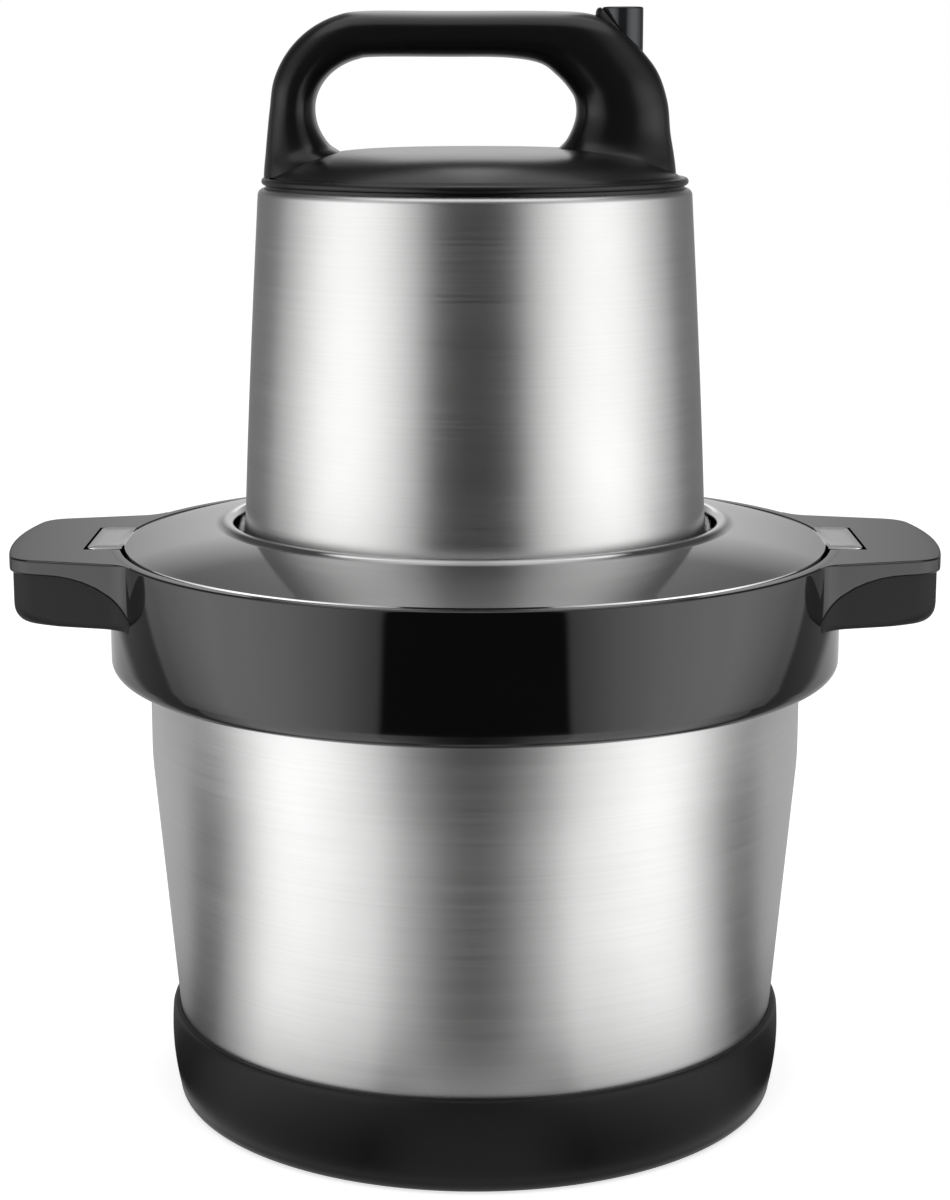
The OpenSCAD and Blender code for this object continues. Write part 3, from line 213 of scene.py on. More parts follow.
def blockPoints(low, high):
    # a box as a grid: its four upright edges, closed above and below by filling the two rims
    x, y = (low[0], high[0], high[0], low[0]), (low[1], low[1], high[1], high[1])
    return np.array([[[x[k], y[k], z] for k in range(4)] for z in (low[2], high[2])], float)


def finishPiece(obj, body, slot, *replaced, crease=38):
    # smooth but for edges steeper than crease degrees, in the slot's finish, on its body
    mesh = obj.data
    mesh.polygons.foreach_set("use_smooth", np.ones(len(mesh.polygons), bool))
    mesh.set_sharp_from_angle(angle=math.radians(crease))
    mesh.materials.clear()
    mesh.materials.append(finishes[slot])
    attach(obj, body)
    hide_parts(*replaced)


# nodes

def fillInputs(tree, node, inputs):
    # each input gets its value, or a link where the value is another node's output
    for name, value in inputs.items():
        if hasattr(value, "is_output"):
            tree.links.new(value, node.inputs[name])
        else:
            node.inputs[name].default_value = value
    return node


def newNode(tree, kind, inputs, **options):
    # a node with its options set first and its inputs filled
    node = tree.nodes.new(kind)
    for option, value in options.items():
        setattr(node, option, value)
    return fillInputs(tree, node, inputs)


def mathNode(tree, operation, *values):
    # the operation on two values, then on its result and the next value, and so on
    result = newNode(tree, "ShaderNodeMath", dict(enumerate(values[:2])), operation=operation).outputs[0]
    return mathNode(tree, operation, result, *values[2:]) if len(values) > 2 else result


def times(tree, *values):
    # the product of all the values
    return mathNode(tree, "MULTIPLY", *values)


def pairSum(tree, a, p, b, q):
    # a * p + b * q
    return mathNode(tree, "ADD", times(tree, a, p), times(tree, b, q))


def noiseNode(tree, vector, scale, detail=2.0, rough=0.55, warp=0.0):
    # soft noise from 0 to 1, with this many waves per metre
    node = newNode(tree, "ShaderNodeTexNoise", {"Vector": vector, "Scale": scale, "Detail": detail,
                                                "Roughness": rough, "Distortion": warp})
    return node.outputs["Fac"]


def rangeNode(tree, value, low, high):
    # low + (high - low) * value
    return newNode(tree, "ShaderNodeMapRange", {"Value": value, "To Min": low, "To Max": high}).outputs[0]


def rampNode(tree, value, stops):
    # straight stretches of colour between stops of (position, colour)
    node = newNode(tree, "ShaderNodeValToRGB", {0: value})
    elements = node.color_ramp.elements
    while len(elements) < len(stops):
        elements.new(0.5)
    for element, (position, colour) in zip(elements, stops):
        element.position, element.color = position, (*colour, 1.0)
    return node.outputs[0]


def objectPlace(tree):
    # the place on the object, in metres
    return tree.nodes.new("ShaderNodeTexCoord").outputs["Object"]


def seenRay(tree):
    # 1 for rays that show a thing to the camera, straight, mirrored or through glass, and 0 for its light
    rays = tree.nodes.new("ShaderNodeLightPath")
    kinds = ("Is Camera Ray", "Is Glossy Ray", "Is Transmission Ray")
    return mathNode(tree, "MAXIMUM", *(rays.outputs[kind] for kind in kinds))


# shared effects

def newGroup(name, numbers, pattern):
    # a group that takes a place and some numbers, and gives its pattern and a slow cloud
    tree = bpy.data.node_groups.new(name, "ShaderNodeTree")
    tree.interface.new_socket(name="Vector", in_out="INPUT", socket_type="NodeSocketVector")
    for label, value in numbers.items():
        socket = tree.interface.new_socket(name=label, in_out="INPUT", socket_type="NodeSocketFloat")
        socket.default_value = value
    for label in (pattern, "Cloud"):
        tree.interface.new_socket(name=label, in_out="OUTPUT", socket_type="NodeSocketFloat")
    return tree, tree.nodes.new("NodeGroupInput").outputs, tree.nodes.new("NodeGroupOutput")


def brushGroup():
    # lines that follow the turning: noise over (x * long, y * long, level * fine), where level is the
    # height z on a wall and the radius on a dish, and a second, coarser noise beside it
    tree, source, result = newGroup("brushedLines", {"Dish": 0.0, "Fine": 2600.0, "Long": 16.0}, "Lines")
    x, y, z = newNode(tree, "ShaderNodeSeparateXYZ", {0: source["Vector"]}).outputs
    radius = mathNode(tree, "SQRT", pairSum(tree, x, x, y, y))
    level = pairSum(tree, radius, source["Dish"], z, mathNode(tree, "SUBTRACT", 1.0, source["Dish"]))
    tones = []
    for coarse, stretch in ((1.0, 1.0), (0.16, 0.5)):
        long, fine = times(tree, source["Long"], stretch), times(tree, source["Fine"], coarse)
        parts = [times(tree, *pair) for pair in ((x, long), (y, long), (level, fine))]
        join = newNode(tree, "ShaderNodeCombineXYZ", dict(enumerate(parts)))
        tones.append(noiseNode(tree, join.outputs[0], 1.0, detail=3.0, rough=0.6))
    cloud = noiseNode(tree, source["Vector"], 22.0, detail=3.0, rough=0.5, warp=0.4)
    fillInputs(tree, result, {"Lines": pairSum(tree, tones[0], 0.7, tones[1], 0.3), "Cloud": cloud})
    return tree


def grainGroup():
    # spark-eroded mould texture: rounded cells * 0.6 + finer noise * 0.5
    tree, source, result = newGroup("mouldGrain", {"Scale": 1400.0}, "Height")
    vector, scale = source["Vector"], source["Scale"]
    cells = newNode(tree, "ShaderNodeTexVoronoi", {"Vector": vector, "Scale": scale}, feature="SMOOTH_F1")
    fine = noiseNode(tree, vector, times(tree, scale, 1.7))
    cloud = noiseNode(tree, vector, 30.0, detail=3.0, rough=0.5, warp=0.3)
    height = pairSum(tree, cells.outputs["Distance"], 0.6, fine, 0.5)
    fillInputs(tree, result, {"Height": height, "Cloud": cloud})
    return tree


brushedLines = brushGroup()
mouldGrain = grainGroup()
print("shared effects ready")


# finishes

def shaderBase(name, colour, settings):
    # a material whose own shader has this colour and these settings
    material = bpy.data.materials.new(name)
    material.use_nodes = True
    tree = material.node_tree
    shader = fillInputs(tree, tree.nodes["Principled BSDF"], {"Base Color": (*colour, 1.0), **settings})
    return material, tree, shader


def texturedShader(tree, shader, colour, tone, tint, rough, spread, patch, height, depth):
    # colour * (1 +- tone) by the tint, rough +- spread by the patch, and the height as bumps of this depth
    stops = [(position, [c * (1 + way * tone) for c in colour]) for position, way in ((0.25, -1), (0.75, 1))]
    bump = newNode(tree, "ShaderNodeBump", {"Height": height, "Distance": depth, "Strength": 1.0})
    fillInputs(tree, shader, {"Base Color": rampNode(tree, tint, stops), "Normal": bump.outputs[0],
                              "Roughness": rangeNode(tree, patch, rough - spread, rough + spread)})


def steelFinish(name, colour, rough, lean=0.0, turn=0.0, dish=0.0, fine=2600.0, long=16.0, depth=4e-6,
                spread=0.1, tone=0.06):
    # lean stretches the highlight, turn is its direction, spread the change of roughness from line to line
    material, tree, shader = shaderBase(name, colour, {"Metallic": 1.0, "Anisotropic": lean})
    lines, cloud = newNode(tree, "ShaderNodeGroup", {"Vector": objectPlace(tree), "Dish": dish, "Fine": fine,
                                                     "Long": long}, node_tree=brushedLines).outputs
    texturedShader(tree, shader, colour, tone, pairSum(tree, lines, 0.65, cloud, 0.35), rough, spread, lines,
                   lines, depth)
    if lean:
        along = newNode(tree, "ShaderNodeTangent", {}, direction_type="RADIAL", axis="Z")
        fillInputs(tree, shader, {"Anisotropic Rotation": turn, "Tangent": along.outputs[0]})
    return material


def plasticFinish(name, colour, rough, grain=1400.0, depth=1e-5, spread=0.04, tone=0.12, extra=None):
    # moulded plastic or rubber: mould grain in the bump, slow clouds in colour and roughness
    material, tree, shader = shaderBase(name, colour, extra or {})
    grained, cloud = newNode(tree, "ShaderNodeGroup", {"Vector": objectPlace(tree), "Scale": grain},
                             node_tree=mouldGrain).outputs
    texturedShader(tree, shader, colour, tone, cloud, rough, spread, cloud, grained, depth)
    return material


finishes = {
    "foot_rubber": plasticFinish("footRubber", (0.012, 0.012, 0.0125), 0.42, 900.0, 1.5e-5,
                                 extra={"Specular IOR Level": 0.22}),
    "brushed_steel": steelFinish("brushedSteel", (0.59, 0.59, 0.587), 0.36, lean=0.42, turn=0.25, fine=1100.0,
                                 long=12.0, depth=2e-6, tone=0.11),
    "polished_steel": steelFinish("polishedSteel", (0.66, 0.66, 0.66), 0.09, dish=1.0, fine=1800.0,
                                  depth=4e-7, spread=0.02, tone=0.03),
    "turned_steel": steelFinish("turnedSteel", (0.5, 0.5, 0.5), 0.28, dish=0.5, fine=3000.0),
    "zinc_steel": steelFinish("zincSteel", (0.5, 0.51, 0.52), 0.33, dish=0.5, fine=3200.0),
    "gloss_black": plasticFinish("glossBlack", (0.0035, 0.0035, 0.0037), 0.07, 500.0, 1e-7, 0.01,
                                 extra={"IOR": 1.6}),
    "matte_black": plasticFinish("matteBlack", (0.014, 0.014, 0.0145), 0.5, 1500.0, 2.4e-5,
                                 extra={"Specular IOR Level": 0.22}),
    "satin_black": plasticFinish("satinBlack", (0.008, 0.008, 0.0085), 0.26, 900.0, 1.5e-6, 0.02,
                                 extra={"Specular IOR Level": 0.35}),
    "dark_grey": plasticFinish("buttonGrey", (0.05, 0.052, 0.055), 0.16, 700.0, 5e-7, 0.02,
                               extra={"Metallic": 0.6}),
    "hub_plastic": plasticFinish("hubPlastic", (0.72, 0.71, 0.66), 0.42, 1100.0, 8e-6, tone=0.03),
    "seal_silicone": plasticFinish("sealSilicone", (0.74, 0.74, 0.71), 0.48, 800.0, 6e-6, tone=0.03,
                                   extra={"Subsurface Weight": 0.1,
                                          "Subsurface Radius": (0.004, 0.003, 0.003)}),
    "bush_brass": steelFinish("bushBrass", (0.62, 0.43, 0.19), 0.28, dish=0.5, fine=2800.0),
    "seal_rubber": plasticFinish("sealRubber", (0.035, 0.022, 0.016), 0.5, 1000.0, 1e-5),
    "bearing_steel": steelFinish("bearingSteel", (0.58, 0.58, 0.58), 0.2, dish=1.0, fine=3400.0),
    "cast_aluminium": steelFinish("castAluminium", (0.55, 0.56, 0.57), 0.45, fine=500.0, long=500.0,
                                  depth=2e-5),
    "lamination": steelFinish("laminatedSteel", (0.16, 0.17, 0.18), 0.4, fine=2000.0, depth=1.2e-5,
                              tone=0.25),
    "copper": steelFinish("windingCopper", (0.6, 0.24, 0.1), 0.3, fine=1500.0, depth=2e-5, tone=0.2),
    "carbon": plasticFinish("brushCarbon", (0.018, 0.018, 0.02), 0.55, 1800.0, 1e-5),
    "fan_plastic": plasticFinish("fanPlastic", (0.03, 0.032, 0.035), 0.4, 1200.0, 8e-6),
    "switch_red": plasticFinish("switchRed", (0.2, 0.024, 0.02), 0.35, 1200.0, 5e-6),
    "gear_plastic": plasticFinish("gearPlastic", (0.74, 0.73, 0.66), 0.38, 1200.0, 5e-6, tone=0.03),
}


def softenGroup(steepest=30):
    # merges a solid's loose triangles and smooths all edges flatter than this many degrees
    tree = bpy.data.node_groups.new("softenFacets", "GeometryNodeTree")
    for way in ("INPUT", "OUTPUT"):
        tree.interface.new_socket(name="Geometry", in_out=way, socket_type="NodeSocketGeometry")
    source, result = tree.nodes.new("NodeGroupInput"), tree.nodes.new("NodeGroupOutput")
    merge = newNode(tree, "GeometryNodeMergeByDistance",
                    {"Geometry": source.outputs[0], "Distance": mergeWithin})
    faces = newNode(tree, "GeometryNodeSetShadeSmooth", {"Geometry": merge.outputs[0]}, domain="FACE")
    angle = tree.nodes.new("GeometryNodeInputMeshEdgeAngle").outputs["Unsigned Angle"]
    steep = newNode(tree, "FunctionNodeCompare", {"A": angle, "B": math.radians(steepest)},
                    operation="GREATER_THAN")
    edges = newNode(tree, "GeometryNodeSetShadeSmooth", {"Geometry": faces.outputs[0], "Shade Smooth": False,
                                                         "Selection": steep.outputs[0]}, domain="EDGE")
    fillInputs(tree, result, {0: edges.outputs[0]})
    return tree


softenFacets = softenGroup()
for part in frame["record"]["subparts"]:
    solid = nodes[part["node"]]
    solid.data.materials.clear()
    solid.data.materials.append(finishes[part["material_slot"]])
    solid.modifiers.new("softenFacets", "NODES").node_group = softenFacets
print("finishes:", len(finishes), "on", len(nodes), "solids")


# bowl and foot

bowl = {"radius": 115.0, "taper": 0.087, "taperTop": 125.0, "ease": 5.0, "bend": 18.0, "wall": 1.2,
        "padZ": 5.0, "flangeZ": 194.6, "rimBend": 2.0, "rimWide": 2.3, "hole": 5.2}


def wallRadius(z):
    # radius - taper * the depth under the tapered wall's top
    return bowl["radius"] - bowl["taper"] * np.maximum(0, bowl["taperTop"] - z)


radius, taper, taperTop, ease = sizesOf(bowl, "radius", "taper", "taperTop", "ease")
bend, padZ, rimBend, flangeZ = sizesOf(bowl, "bend", "padZ", "rimBend", "flangeZ")
bowlTilt = math.atan(taper)
tiltDegrees = math.degrees(bowlTilt)
bendAt = (wallRadius(padZ + bend) - bend / math.cos(bowlTilt), padZ + bend)
rimAt = (radius + rimBend, flangeZ - rimBend)
easing = np.linspace(-4, ease, 8)
bowlPath = np.vstack((
    linePoints((bowl["hole"], padZ), (bendAt[0] - 0.5, padZ), 12),
    arcPoints(bendAt, bend, -90, -tiltDegrees, 24),
    linePoints(*((wallRadius(z), z) for z in (bendAt[1] + 1, taperTop - ease)), 12),
    # the taper eases into the straight wall: radius - taper * (ease - d) ^ 2 / (4 * ease), d above the top
    np.column_stack((radius - taper * (ease - easing) ** 2 / (4 * ease), taperTop + easing)),
    linePoints((radius, taperTop + 9), (radius, rimAt[1] - 0.3), 8),
    arcPoints(rimAt, rimBend, 180, 90, 10), [[rimAt[0] + bowl["rimWide"], flangeZ]]))
bowlShell = turned("bowlShell", sheetOutline(bowlPath, bowl["wall"]), 288)
finishPiece(bowlShell, "bowl_unit", "brushed_steel", "bowl")

foot = {"height": 33.5, "radius": 110.0, "belly": 24.0, "bulge": 0.0058, "edge": 4.0, "topEdge": 1.5,
        "hole": 62.0, "pad": 80.0, "gap": 0.2}


def footSide(z):
    # a parabola that is widest at the belly's height
    return foot["radius"] - foot["bulge"] * (z - foot["belly"]) ** 2


height, edge, topEdge, hole, gap = sizesOf(foot, "height", "edge", "topEdge", "hole", "gap")
sideZ = np.linspace(edge + 1, height - 1.9, 18)
footProfile = np.vstack((
    [[hole, 0.0], [foot["pad"], 0.0], [footSide(0.0) - edge / 1.6 - 0.4, 0.0]],
    arcPoints((footSide(edge) - edge, edge), edge, -64, 0, 10),
    np.column_stack((footSide(sideZ), sideZ)),
    arcPoints((footSide(height) - topEdge, height - topEdge), topEdge, 20, 90, 8),
    [[wallRadius(z) + gap, z] for z in (height, bendAt[1])],
    arcPoints(bendAt, bend + gap, -tiltDegrees - 2, -84, 16), [[bendAt[0] - 2, padZ], [hole, padZ]]))
finishPiece(turned("footRing", footProfile), "bowl_unit", "foot_rubber", "base_ring")
print("bowl and foot done")


# collar and side handles

collar = {"radius": 128.5, "top": 200.4, "seat": 197.2, "ledge": 124.6, "skirt": 156.0, "edge": 5.0,
          "wall": 2.8, "inner": 115.2, "sleeveLow": 176.6, "sleeveHigh": 185.0, "sleeveOut": 119.9,
          "webLow": 188.2, "webTop": 194.4, "brow": 0.8, "rim": 0.35, "lip": 116.6, "lipLow": 196.0,
          "lipOut": 119.5}
grip = {"reach": 162.5, "width": 98.0, "draft": 15.0, "corner": 12.0, "flare": 12.0, "plateZ": 195.4,
        "gussetHigh": 15.0, "gussetLong": 23.0, "brow": 0.9, "underEdge": 0.7, "inset": 1.2, "coverZ": 177.4,
        "tipRound": 6.0, "tipFrom": 24.0, "tipOver": 18.0, "sideRound": 2.6, "gap": 0.2, "bury": 0.85}
notch = {"from": 119.6, "to": 135.6, "half": 22.1}
rib = {"count": 36, "half": 0.8, "low": 177.6, "high": 188.6, "biteIn": 0.8, "biteOut": 0.6}

skin = collar["radius"] - collar["wall"]


def collarProfile():
    # up the inner sleeve, round the bowl's rim, over the lid's seat and down the outside to the skirt
    radius, top, seat, ledge, skirt = sizesOf(collar, "radius", "top", "seat", "ledge", "skirt")
    edge, brow, rim, lip, lipOut, lipLow = sizesOf(collar, "edge", "brow", "rim", "lip", "lipOut", "lipLow")
    inner, sleeveLow, sleeveOut, webLow = sizesOf(collar, "inner", "sleeveLow", "sleeveOut", "webLow")
    return np.vstack((
        [[inner, sleeveLow], [inner, collar["sleeveHigh"]]],
        arcPoints(rimAt, bowl["rimBend"] - 0.2, 180, 90, 6),
        [[lipOut, collar["webTop"]], [lipOut, lipLow], [lip, lipLow], [lip, seat], [ledge - 0.3, seat],
         [ledge, seat + 0.3], [ledge, top - rim]],
        arcPoints((ledge + rim, top - rim), rim, 180, 90, 4),
        arcPoints((radius - brow, top - brow), brow, 90, 0, 8),
        linePoints((radius, top - 4.4), (radius, skirt + 8), 6),
        arcPoints((radius - edge, skirt + edge), edge, 0, -74, 14),
        [[radius - edge, skirt], [skin - 1.4, skirt + collar["wall"]], [skin, skirt + 7],
         [skin, webLow + 0.2], [skin - 1.5, webLow], [sleeveOut, webLow], [sleeveOut - 1, sleeveLow]]))


def gripOutline(inset):
    # plan of the right handle from flare to flare: an end concentric with the collar, two corner arcs,
    # sides that run inward by the draft angle, and two flares that touch the collar's circle. A side lies
    # at the distance edge from the axis. Every inset gives the same number of points.
    c, s = math.cos(math.radians(grip["draft"])), math.sin(math.radians(grip["draft"]))
    edge = grip["width"] / 2 * c + collar["radius"] * s - inset
    tip, corner, flare = grip["reach"] - inset, grip["corner"] - inset, grip["flare"] + inset

    def centreAt(away, along):
        run = math.sqrt(along * along - away * away)
        return np.array((away * s + run * c, away * c - run * s))

    cornerAt = centreAt(edge - corner, tip - corner)
    flareAt = centreAt(edge + flare, collar["radius"] + flare)
    turn, touch = (math.degrees(math.atan2(p[1], p[0])) for p in (cornerAt, flareAt))
    side = 90 - grip["draft"]
    bury = (collar["radius"] - grip["bury"]) / collar["radius"]
    cornerPoints = arcPoints(cornerAt, corner, turn, side, 18)
    flarePoints = arcPoints(flareAt, flare, side + 180, 180 + touch, 20)
    upper = np.vstack((arcPoints((0, 0), tip, 0, turn, 13)[:-1], cornerPoints,
                       linePoints(cornerPoints[-1], flarePoints[0], 7)[1:-1], flarePoints,
                       flarePoints[-1:] * bury))
    return np.vstack((upper[:0:-1] * (1, -1), upper))


def gussetZ(radius):
    # underside of the top plate: a quarter ellipse that sweeps out of the collar's wall, then flat
    u = np.clip((radius - collar["radius"]) / grip["gussetLong"], 0, 1) - 1
    return grip["plateZ"] - grip["gussetHigh"] + grip["gussetHigh"] * np.sqrt(np.maximum(1 - u * u, 0))


def pulledIn(outline, t, inner):
    # each point slides along its ray to the axis, from the outline at t 0 to the inner circle at t 1
    length = np.linalg.norm(outline, axis=1)
    return outline * ((1 - t) + t * inner / length)[:, None]


def stacked(rows):
    # rows of (plan points, height or heights) as one grid
    return np.stack([np.column_stack((plan, np.broadcast_to(z, len(plan)))) for plan, z in rows])


def gripPlatePoints():
    # rings from the inner circle over the flat top, round the brow, down the edge and back under the gusset
    inner, top = collar["radius"] - grip["bury"], collar["top"]
    brow, under = grip["brow"], grip["underEdge"]
    radiusOf = lambda plan: np.linalg.norm(plan, axis=1)
    rows = [(pulledIn(gripOutline(brow), t, inner), top) for t in np.linspace(1, 0, 10)]
    for a in np.radians(np.linspace(15, 90, 6)):
        rows.append((gripOutline(brow * (1 - math.sin(a))), top - brow * (1 - math.cos(a))))
    edge = gripOutline(0)
    low = gussetZ(radiusOf(edge)) + under
    rows += [(edge, (top - brow) * (1 - v) + low * v) for v in np.linspace(0.12, 1, 9)]
    for a in np.radians(np.linspace(15, 90, 6)):
        plan = gripOutline(under * (1 - math.cos(a)))
        rows.append((plan, gussetZ(radiusOf(plan)) + under * (1 - math.sin(a))))
    lowEdge = gripOutline(under)
    for t in np.linspace(0.08, 1, 13):
        plan = pulledIn(lowEdge, t, inner)
        rows.append((plan, gussetZ(radiusOf(plan))))
    return stacked(rows)


def gripCoverPoints():
    # rings out under the plate, down the side, round an edge that widens towards the tip, and in below
    inner = collar["radius"] + grip["gap"]
    edge0, step = gripOutline(grip["inset"]), gripOutline(grip["inset"] + 1) - gripOutline(grip["inset"])
    near = np.clip((edge0[:, 0] - (grip["reach"] - grip["tipFrom"])) / grip["tipOver"], 0, 1)
    bend = grip["sideRound"] + (grip["tipRound"] - grip["sideRound"]) * near * near * (3 - 2 * near)
    ceiling = lambda plan: gussetZ(np.linalg.norm(plan, axis=1)) - grip["gap"]
    rows = [(pulledIn(edge0, t, inner), ceiling(pulledIn(edge0, t, inner))) for t in np.linspace(1, 0, 14)]
    high, low = ceiling(edge0), grip["coverZ"] + bend
    rows += [(edge0, high * (1 - v) + np.minimum(low, high) * v) for v in np.linspace(0.1, 1, 9)]
    for a in np.radians(np.linspace(10, 90, 9)):
        plan = edge0 + step * (bend * (1 - math.cos(a)))[:, None]
        rows.append((plan, grip["coverZ"] + bend * (1 - math.sin(a))))
    last = edge0 + step * bend[:, None]
    rows += [(pulledIn(last, t, inner), grip["coverZ"]) for t in np.linspace(0.1, 1, 9)]
    return stacked(rows)


def ribPoints(k):
    # one upright web between the collar's skirt and its inner sleeve
    low = np.array((collar["sleeveOut"] - rib["biteIn"], -rib["half"], rib["low"]))
    high = np.array((skin + rib["biteOut"], rib["half"], rib["high"]))
    a = math.radians((k + 0.5) * 360 / rib["count"])
    turn = np.array(((math.cos(a), -math.sin(a), 0), (math.sin(a), math.cos(a), 0), (0, 0, 1)))
    return blockPoints(low, high) @ turn.T


def notchBlock(side):
    # the gap in the collar's brow that a tab of the lid lies in
    x = sorted((side * notch["from"], side * notch["to"]))
    return surface("notch", blockPoints((x[0], -notch["half"], collar["seat"]),
                                        (x[1], notch["half"], collar["top"] + 2)), closeCols=True)


ringPart = carve(turned("ringPart", collarProfile(), 288), [notchBlock(1), notchBlock(-1)])
plateRight = carve(surface("plateRight", gripPlatePoints(), closeRows=True), [notchBlock(1)])
plateLeft = mirroredCopy("plateLeft", plateRight)
ribs = [surface("rib", ribPoints(k), closeCols=True) for k in range(rib["count"])]
collarMoulding = joined("collarMoulding", [ringPart, plateRight, plateLeft] + ribs)
finishPiece(collarMoulding, "bowl_unit", "gloss_black", "collar")

coverScrew = {"x": grip["reach"] - 16, "y": grip["width"] / 2 - 27, "head": 3.4, "depth": 2.3}
holes = [cylinderCutter(coverScrew["head"], grip["coverZ"] - 2, grip["coverZ"] + coverScrew["depth"],
                        upright(coverScrew["x"], side * coverScrew["y"]), 48) for side in (-1, 1)]
gripCoverRight = carve(surface("gripCoverRight", gripCoverPoints(), closeRows=True), holes)
gripCoverLeft = mirroredCopy("gripCoverLeft", gripCoverRight)
finishPiece(gripCoverRight, "bowl_unit", "matte_black", "handle_cover_right")
finishPiece(gripCoverLeft, "bowl_unit", "matte_black", "handle_cover_left")
print("collar and side handles done")


# lid

lid = {"hole": 30.0, "wellR": 85.7, "wellZ": 190.0, "bend": 4.0, "sideZ": 195.0, "lip": 1.6, "rise": 8.6,
       "sheet": 1.2, "radius": 123.5, "sealTop": 198.2, "domeDrop": 2.6, "hem": 1.2, "hemRise": 0.5}
tab = {"from": 122.4, "reach": 134.5, "half": 21.0, "corner": 3.0, "low": 199.4, "high": 200.8, "brow": 0.35}
wellR, bend, lip, rise, sheet = sizesOf(lid, "wellR", "bend", "lip", "rise", "sheet")
top, wellLow, hemR = collar["top"], lid["wellZ"] - sheet, lid["radius"] - sheet
lipZ = top + rise - sheet
domeIn = (wellR + 2 * lip + 1, top + rise - lid["domeDrop"])
domeOut = (hemR - lid["hem"], top - sheet + lid["hemRise"])
across = np.linspace(0, 1, 28)
lidPath = np.vstack((
    linePoints((lid["hole"], wellLow), (wellR - bend - 0.5, wellLow), 8),
    arcPoints((wellR - bend, wellLow + bend), bend, -84, 0, 10),
    linePoints((wellR, lid["sideZ"]), (wellR, lipZ - lip - 0.6), 5),
    arcPoints((wellR + lip, lipZ - lip), lip, 180, 48, 12),
    # the dome falls steeply by the well and flattens towards the hem: 1 - 0.72 u - 0.28 u u
    np.column_stack((domeIn[0] + (domeOut[0] - domeIn[0]) * across,
                     domeOut[1] + (domeIn[1] - domeOut[1]) * (1 - 0.72 * across - 0.28 * across ** 2))),
    [[hemR - 0.25, domeOut[1] - 0.25], [hemR, domeOut[1] - 1], [hemR, lid["sealTop"]]]))
lidShell = turned("lidShell", sheetOutline(lidPath, sheet), 288)
finishPiece(lidShell, "lid", "polished_steel", "lid_dish")


def tabPoints(side):
    # a flat tongue: straight root, two rounded outer corners, its upper rim rounded over
    def plan(inset):
        half, reach, corner = (size - inset for size in sizesOf(tab, "half", "reach", "corner"))
        return np.vstack(([[root, -half]], arcPoints((reach - corner, corner - half), corner, -90, 0, 8),
                          arcPoints((reach - corner, half - corner), corner, 0, 90, 8), [[root, half]]))

    root = tab["from"]
    middle = np.array(((root + tab["reach"]) / 2, 0))
    brow, high = tab["brow"], tab["high"]
    rows = [(plan(0) * (1 - t) + middle * t, tab["low"]) for t in (0.999, 0.5, 0)]
    rows += [(plan(brow * (1 - math.cos(a))), high - brow + brow * math.sin(a))
             for a in np.radians((0, 30, 60, 90))]
    rows += [(plan(brow) * (1 - t) + middle * t, high) for t in (0.5, 0.999)]
    return stacked(rows) * (side, 1, 1)


lidTabs = joined("lidTabs", [surface("tab", tabPoints(side), closeCols=True) for side in (1, -1)])
finishPiece(lidTabs, "lid", "polished_steel", "lid_dish")
print("lid done")


# motor head

head = {"footR": 81.0, "topR": 74.6, "low": 191.5, "high": 323.3, "straight": 8.5, "edge": 2.5, "sheet": 1.0,
        "hole": 63.6, "deckZ": 327.2, "deckR": 70.5, "dome": 9.4, "beadR": 73.4, "bead": 1.3, "shell": 2.6,
        "spigot": 6.0}


def sleeveRadius(z):
    # straight foot, then easing in as the 1.2 power of the height
    u = np.maximum(0, z - head["low"] - head["straight"]) / (head["high"] - head["low"] - head["straight"])
    return head["footR"] - (head["footR"] - head["topR"]) * u ** 1.2


def domeZ(r):
    # a flat middle that falls to the edge as the fifth power of the radius
    return head["deckZ"] + head["dome"] * (1 - np.minimum(r / head["deckR"], 1) ** 5)


low, high, hole, edge, sheet = sizesOf(head, "low", "high", "hole", "edge", "sheet")
climb = np.linspace(low + 1, high - edge, 40)
turnIn = (float(sleeveRadius(high - edge)) - edge, high - edge)
sleevePath = np.vstack((
    [[head["footR"], low]], np.column_stack((sleeveRadius(climb), climb)),
    arcPoints(turnIn, edge, 8, 90, 12), linePoints((turnIn[0] - 2, high), (hole, high), 4)))
headSleeve = turned("headSleeve", sheetOutline(sleevePath, sheet), 288)
finishPiece(headSleeve, "motor_head", "brushed_steel", "motor_sleeve")

deckR, deckZ, shell, bead = sizesOf(head, "deckR", "deckZ", "shell", "bead")
skirtR, skirtLow, beadIn = hole - 0.2, high - head["spigot"], head["beadR"] - bead
radii = (deckR - 0.8) * np.cos(np.radians(np.linspace(0, 90, 44)))
insideRadii = (skirtR - shell) * np.sin(np.radians(np.linspace(0, 90, 20)))
capProfile = np.vstack((
    [[skirtR, skirtLow], [skirtR, high], [beadIn - 0.1, high], [beadIn - 0.1, high + 0.9]],
    arcPoints((beadIn, high + bead + 1), bead, -80, 90, 14),
    # a small ledge and a fillet between the bead and the deck
    [[deckR + out, deckZ - drop] for out, drop in ((0.9, 0.85), (0.2, 0.55), (-0.3, 0.05))],
    np.column_stack((radii, domeZ(radii))),
    np.column_stack((insideRadii, domeZ(insideRadii) - shell)), [[skirtR - shell, skirtLow]]))
finishPiece(turned("headCap", capProfile), "motor_head", "satin_black", "top_cap")
print("motor head done")


# carry handle

loop = {"top": 382.6, "bar": 15.3, "half": 15.0, "footLeft": 72.4, "footRight": 69.4, "openLeft": -54.8,
        "openRight": 34.8, "columnZ": 330.96, "base": 321.2, "cornerR": 33.0, "openR": 17.5, "wall": 2.6,
        "square": 0.8, "seam": 0.22}
button = {"x": 50.3, "radius": 7.0, "rise": 1.4, "stemZ": 355.4, "sideZ": 362.0, "guard": 9.4, "gap": 0.35,
          "flange": 4.0, "edge": 0.7, "dish": 0.5, "dishR": 5.9, "through": 400.0, "guardLow": 358.0,
          "guardTilt": 50.0}


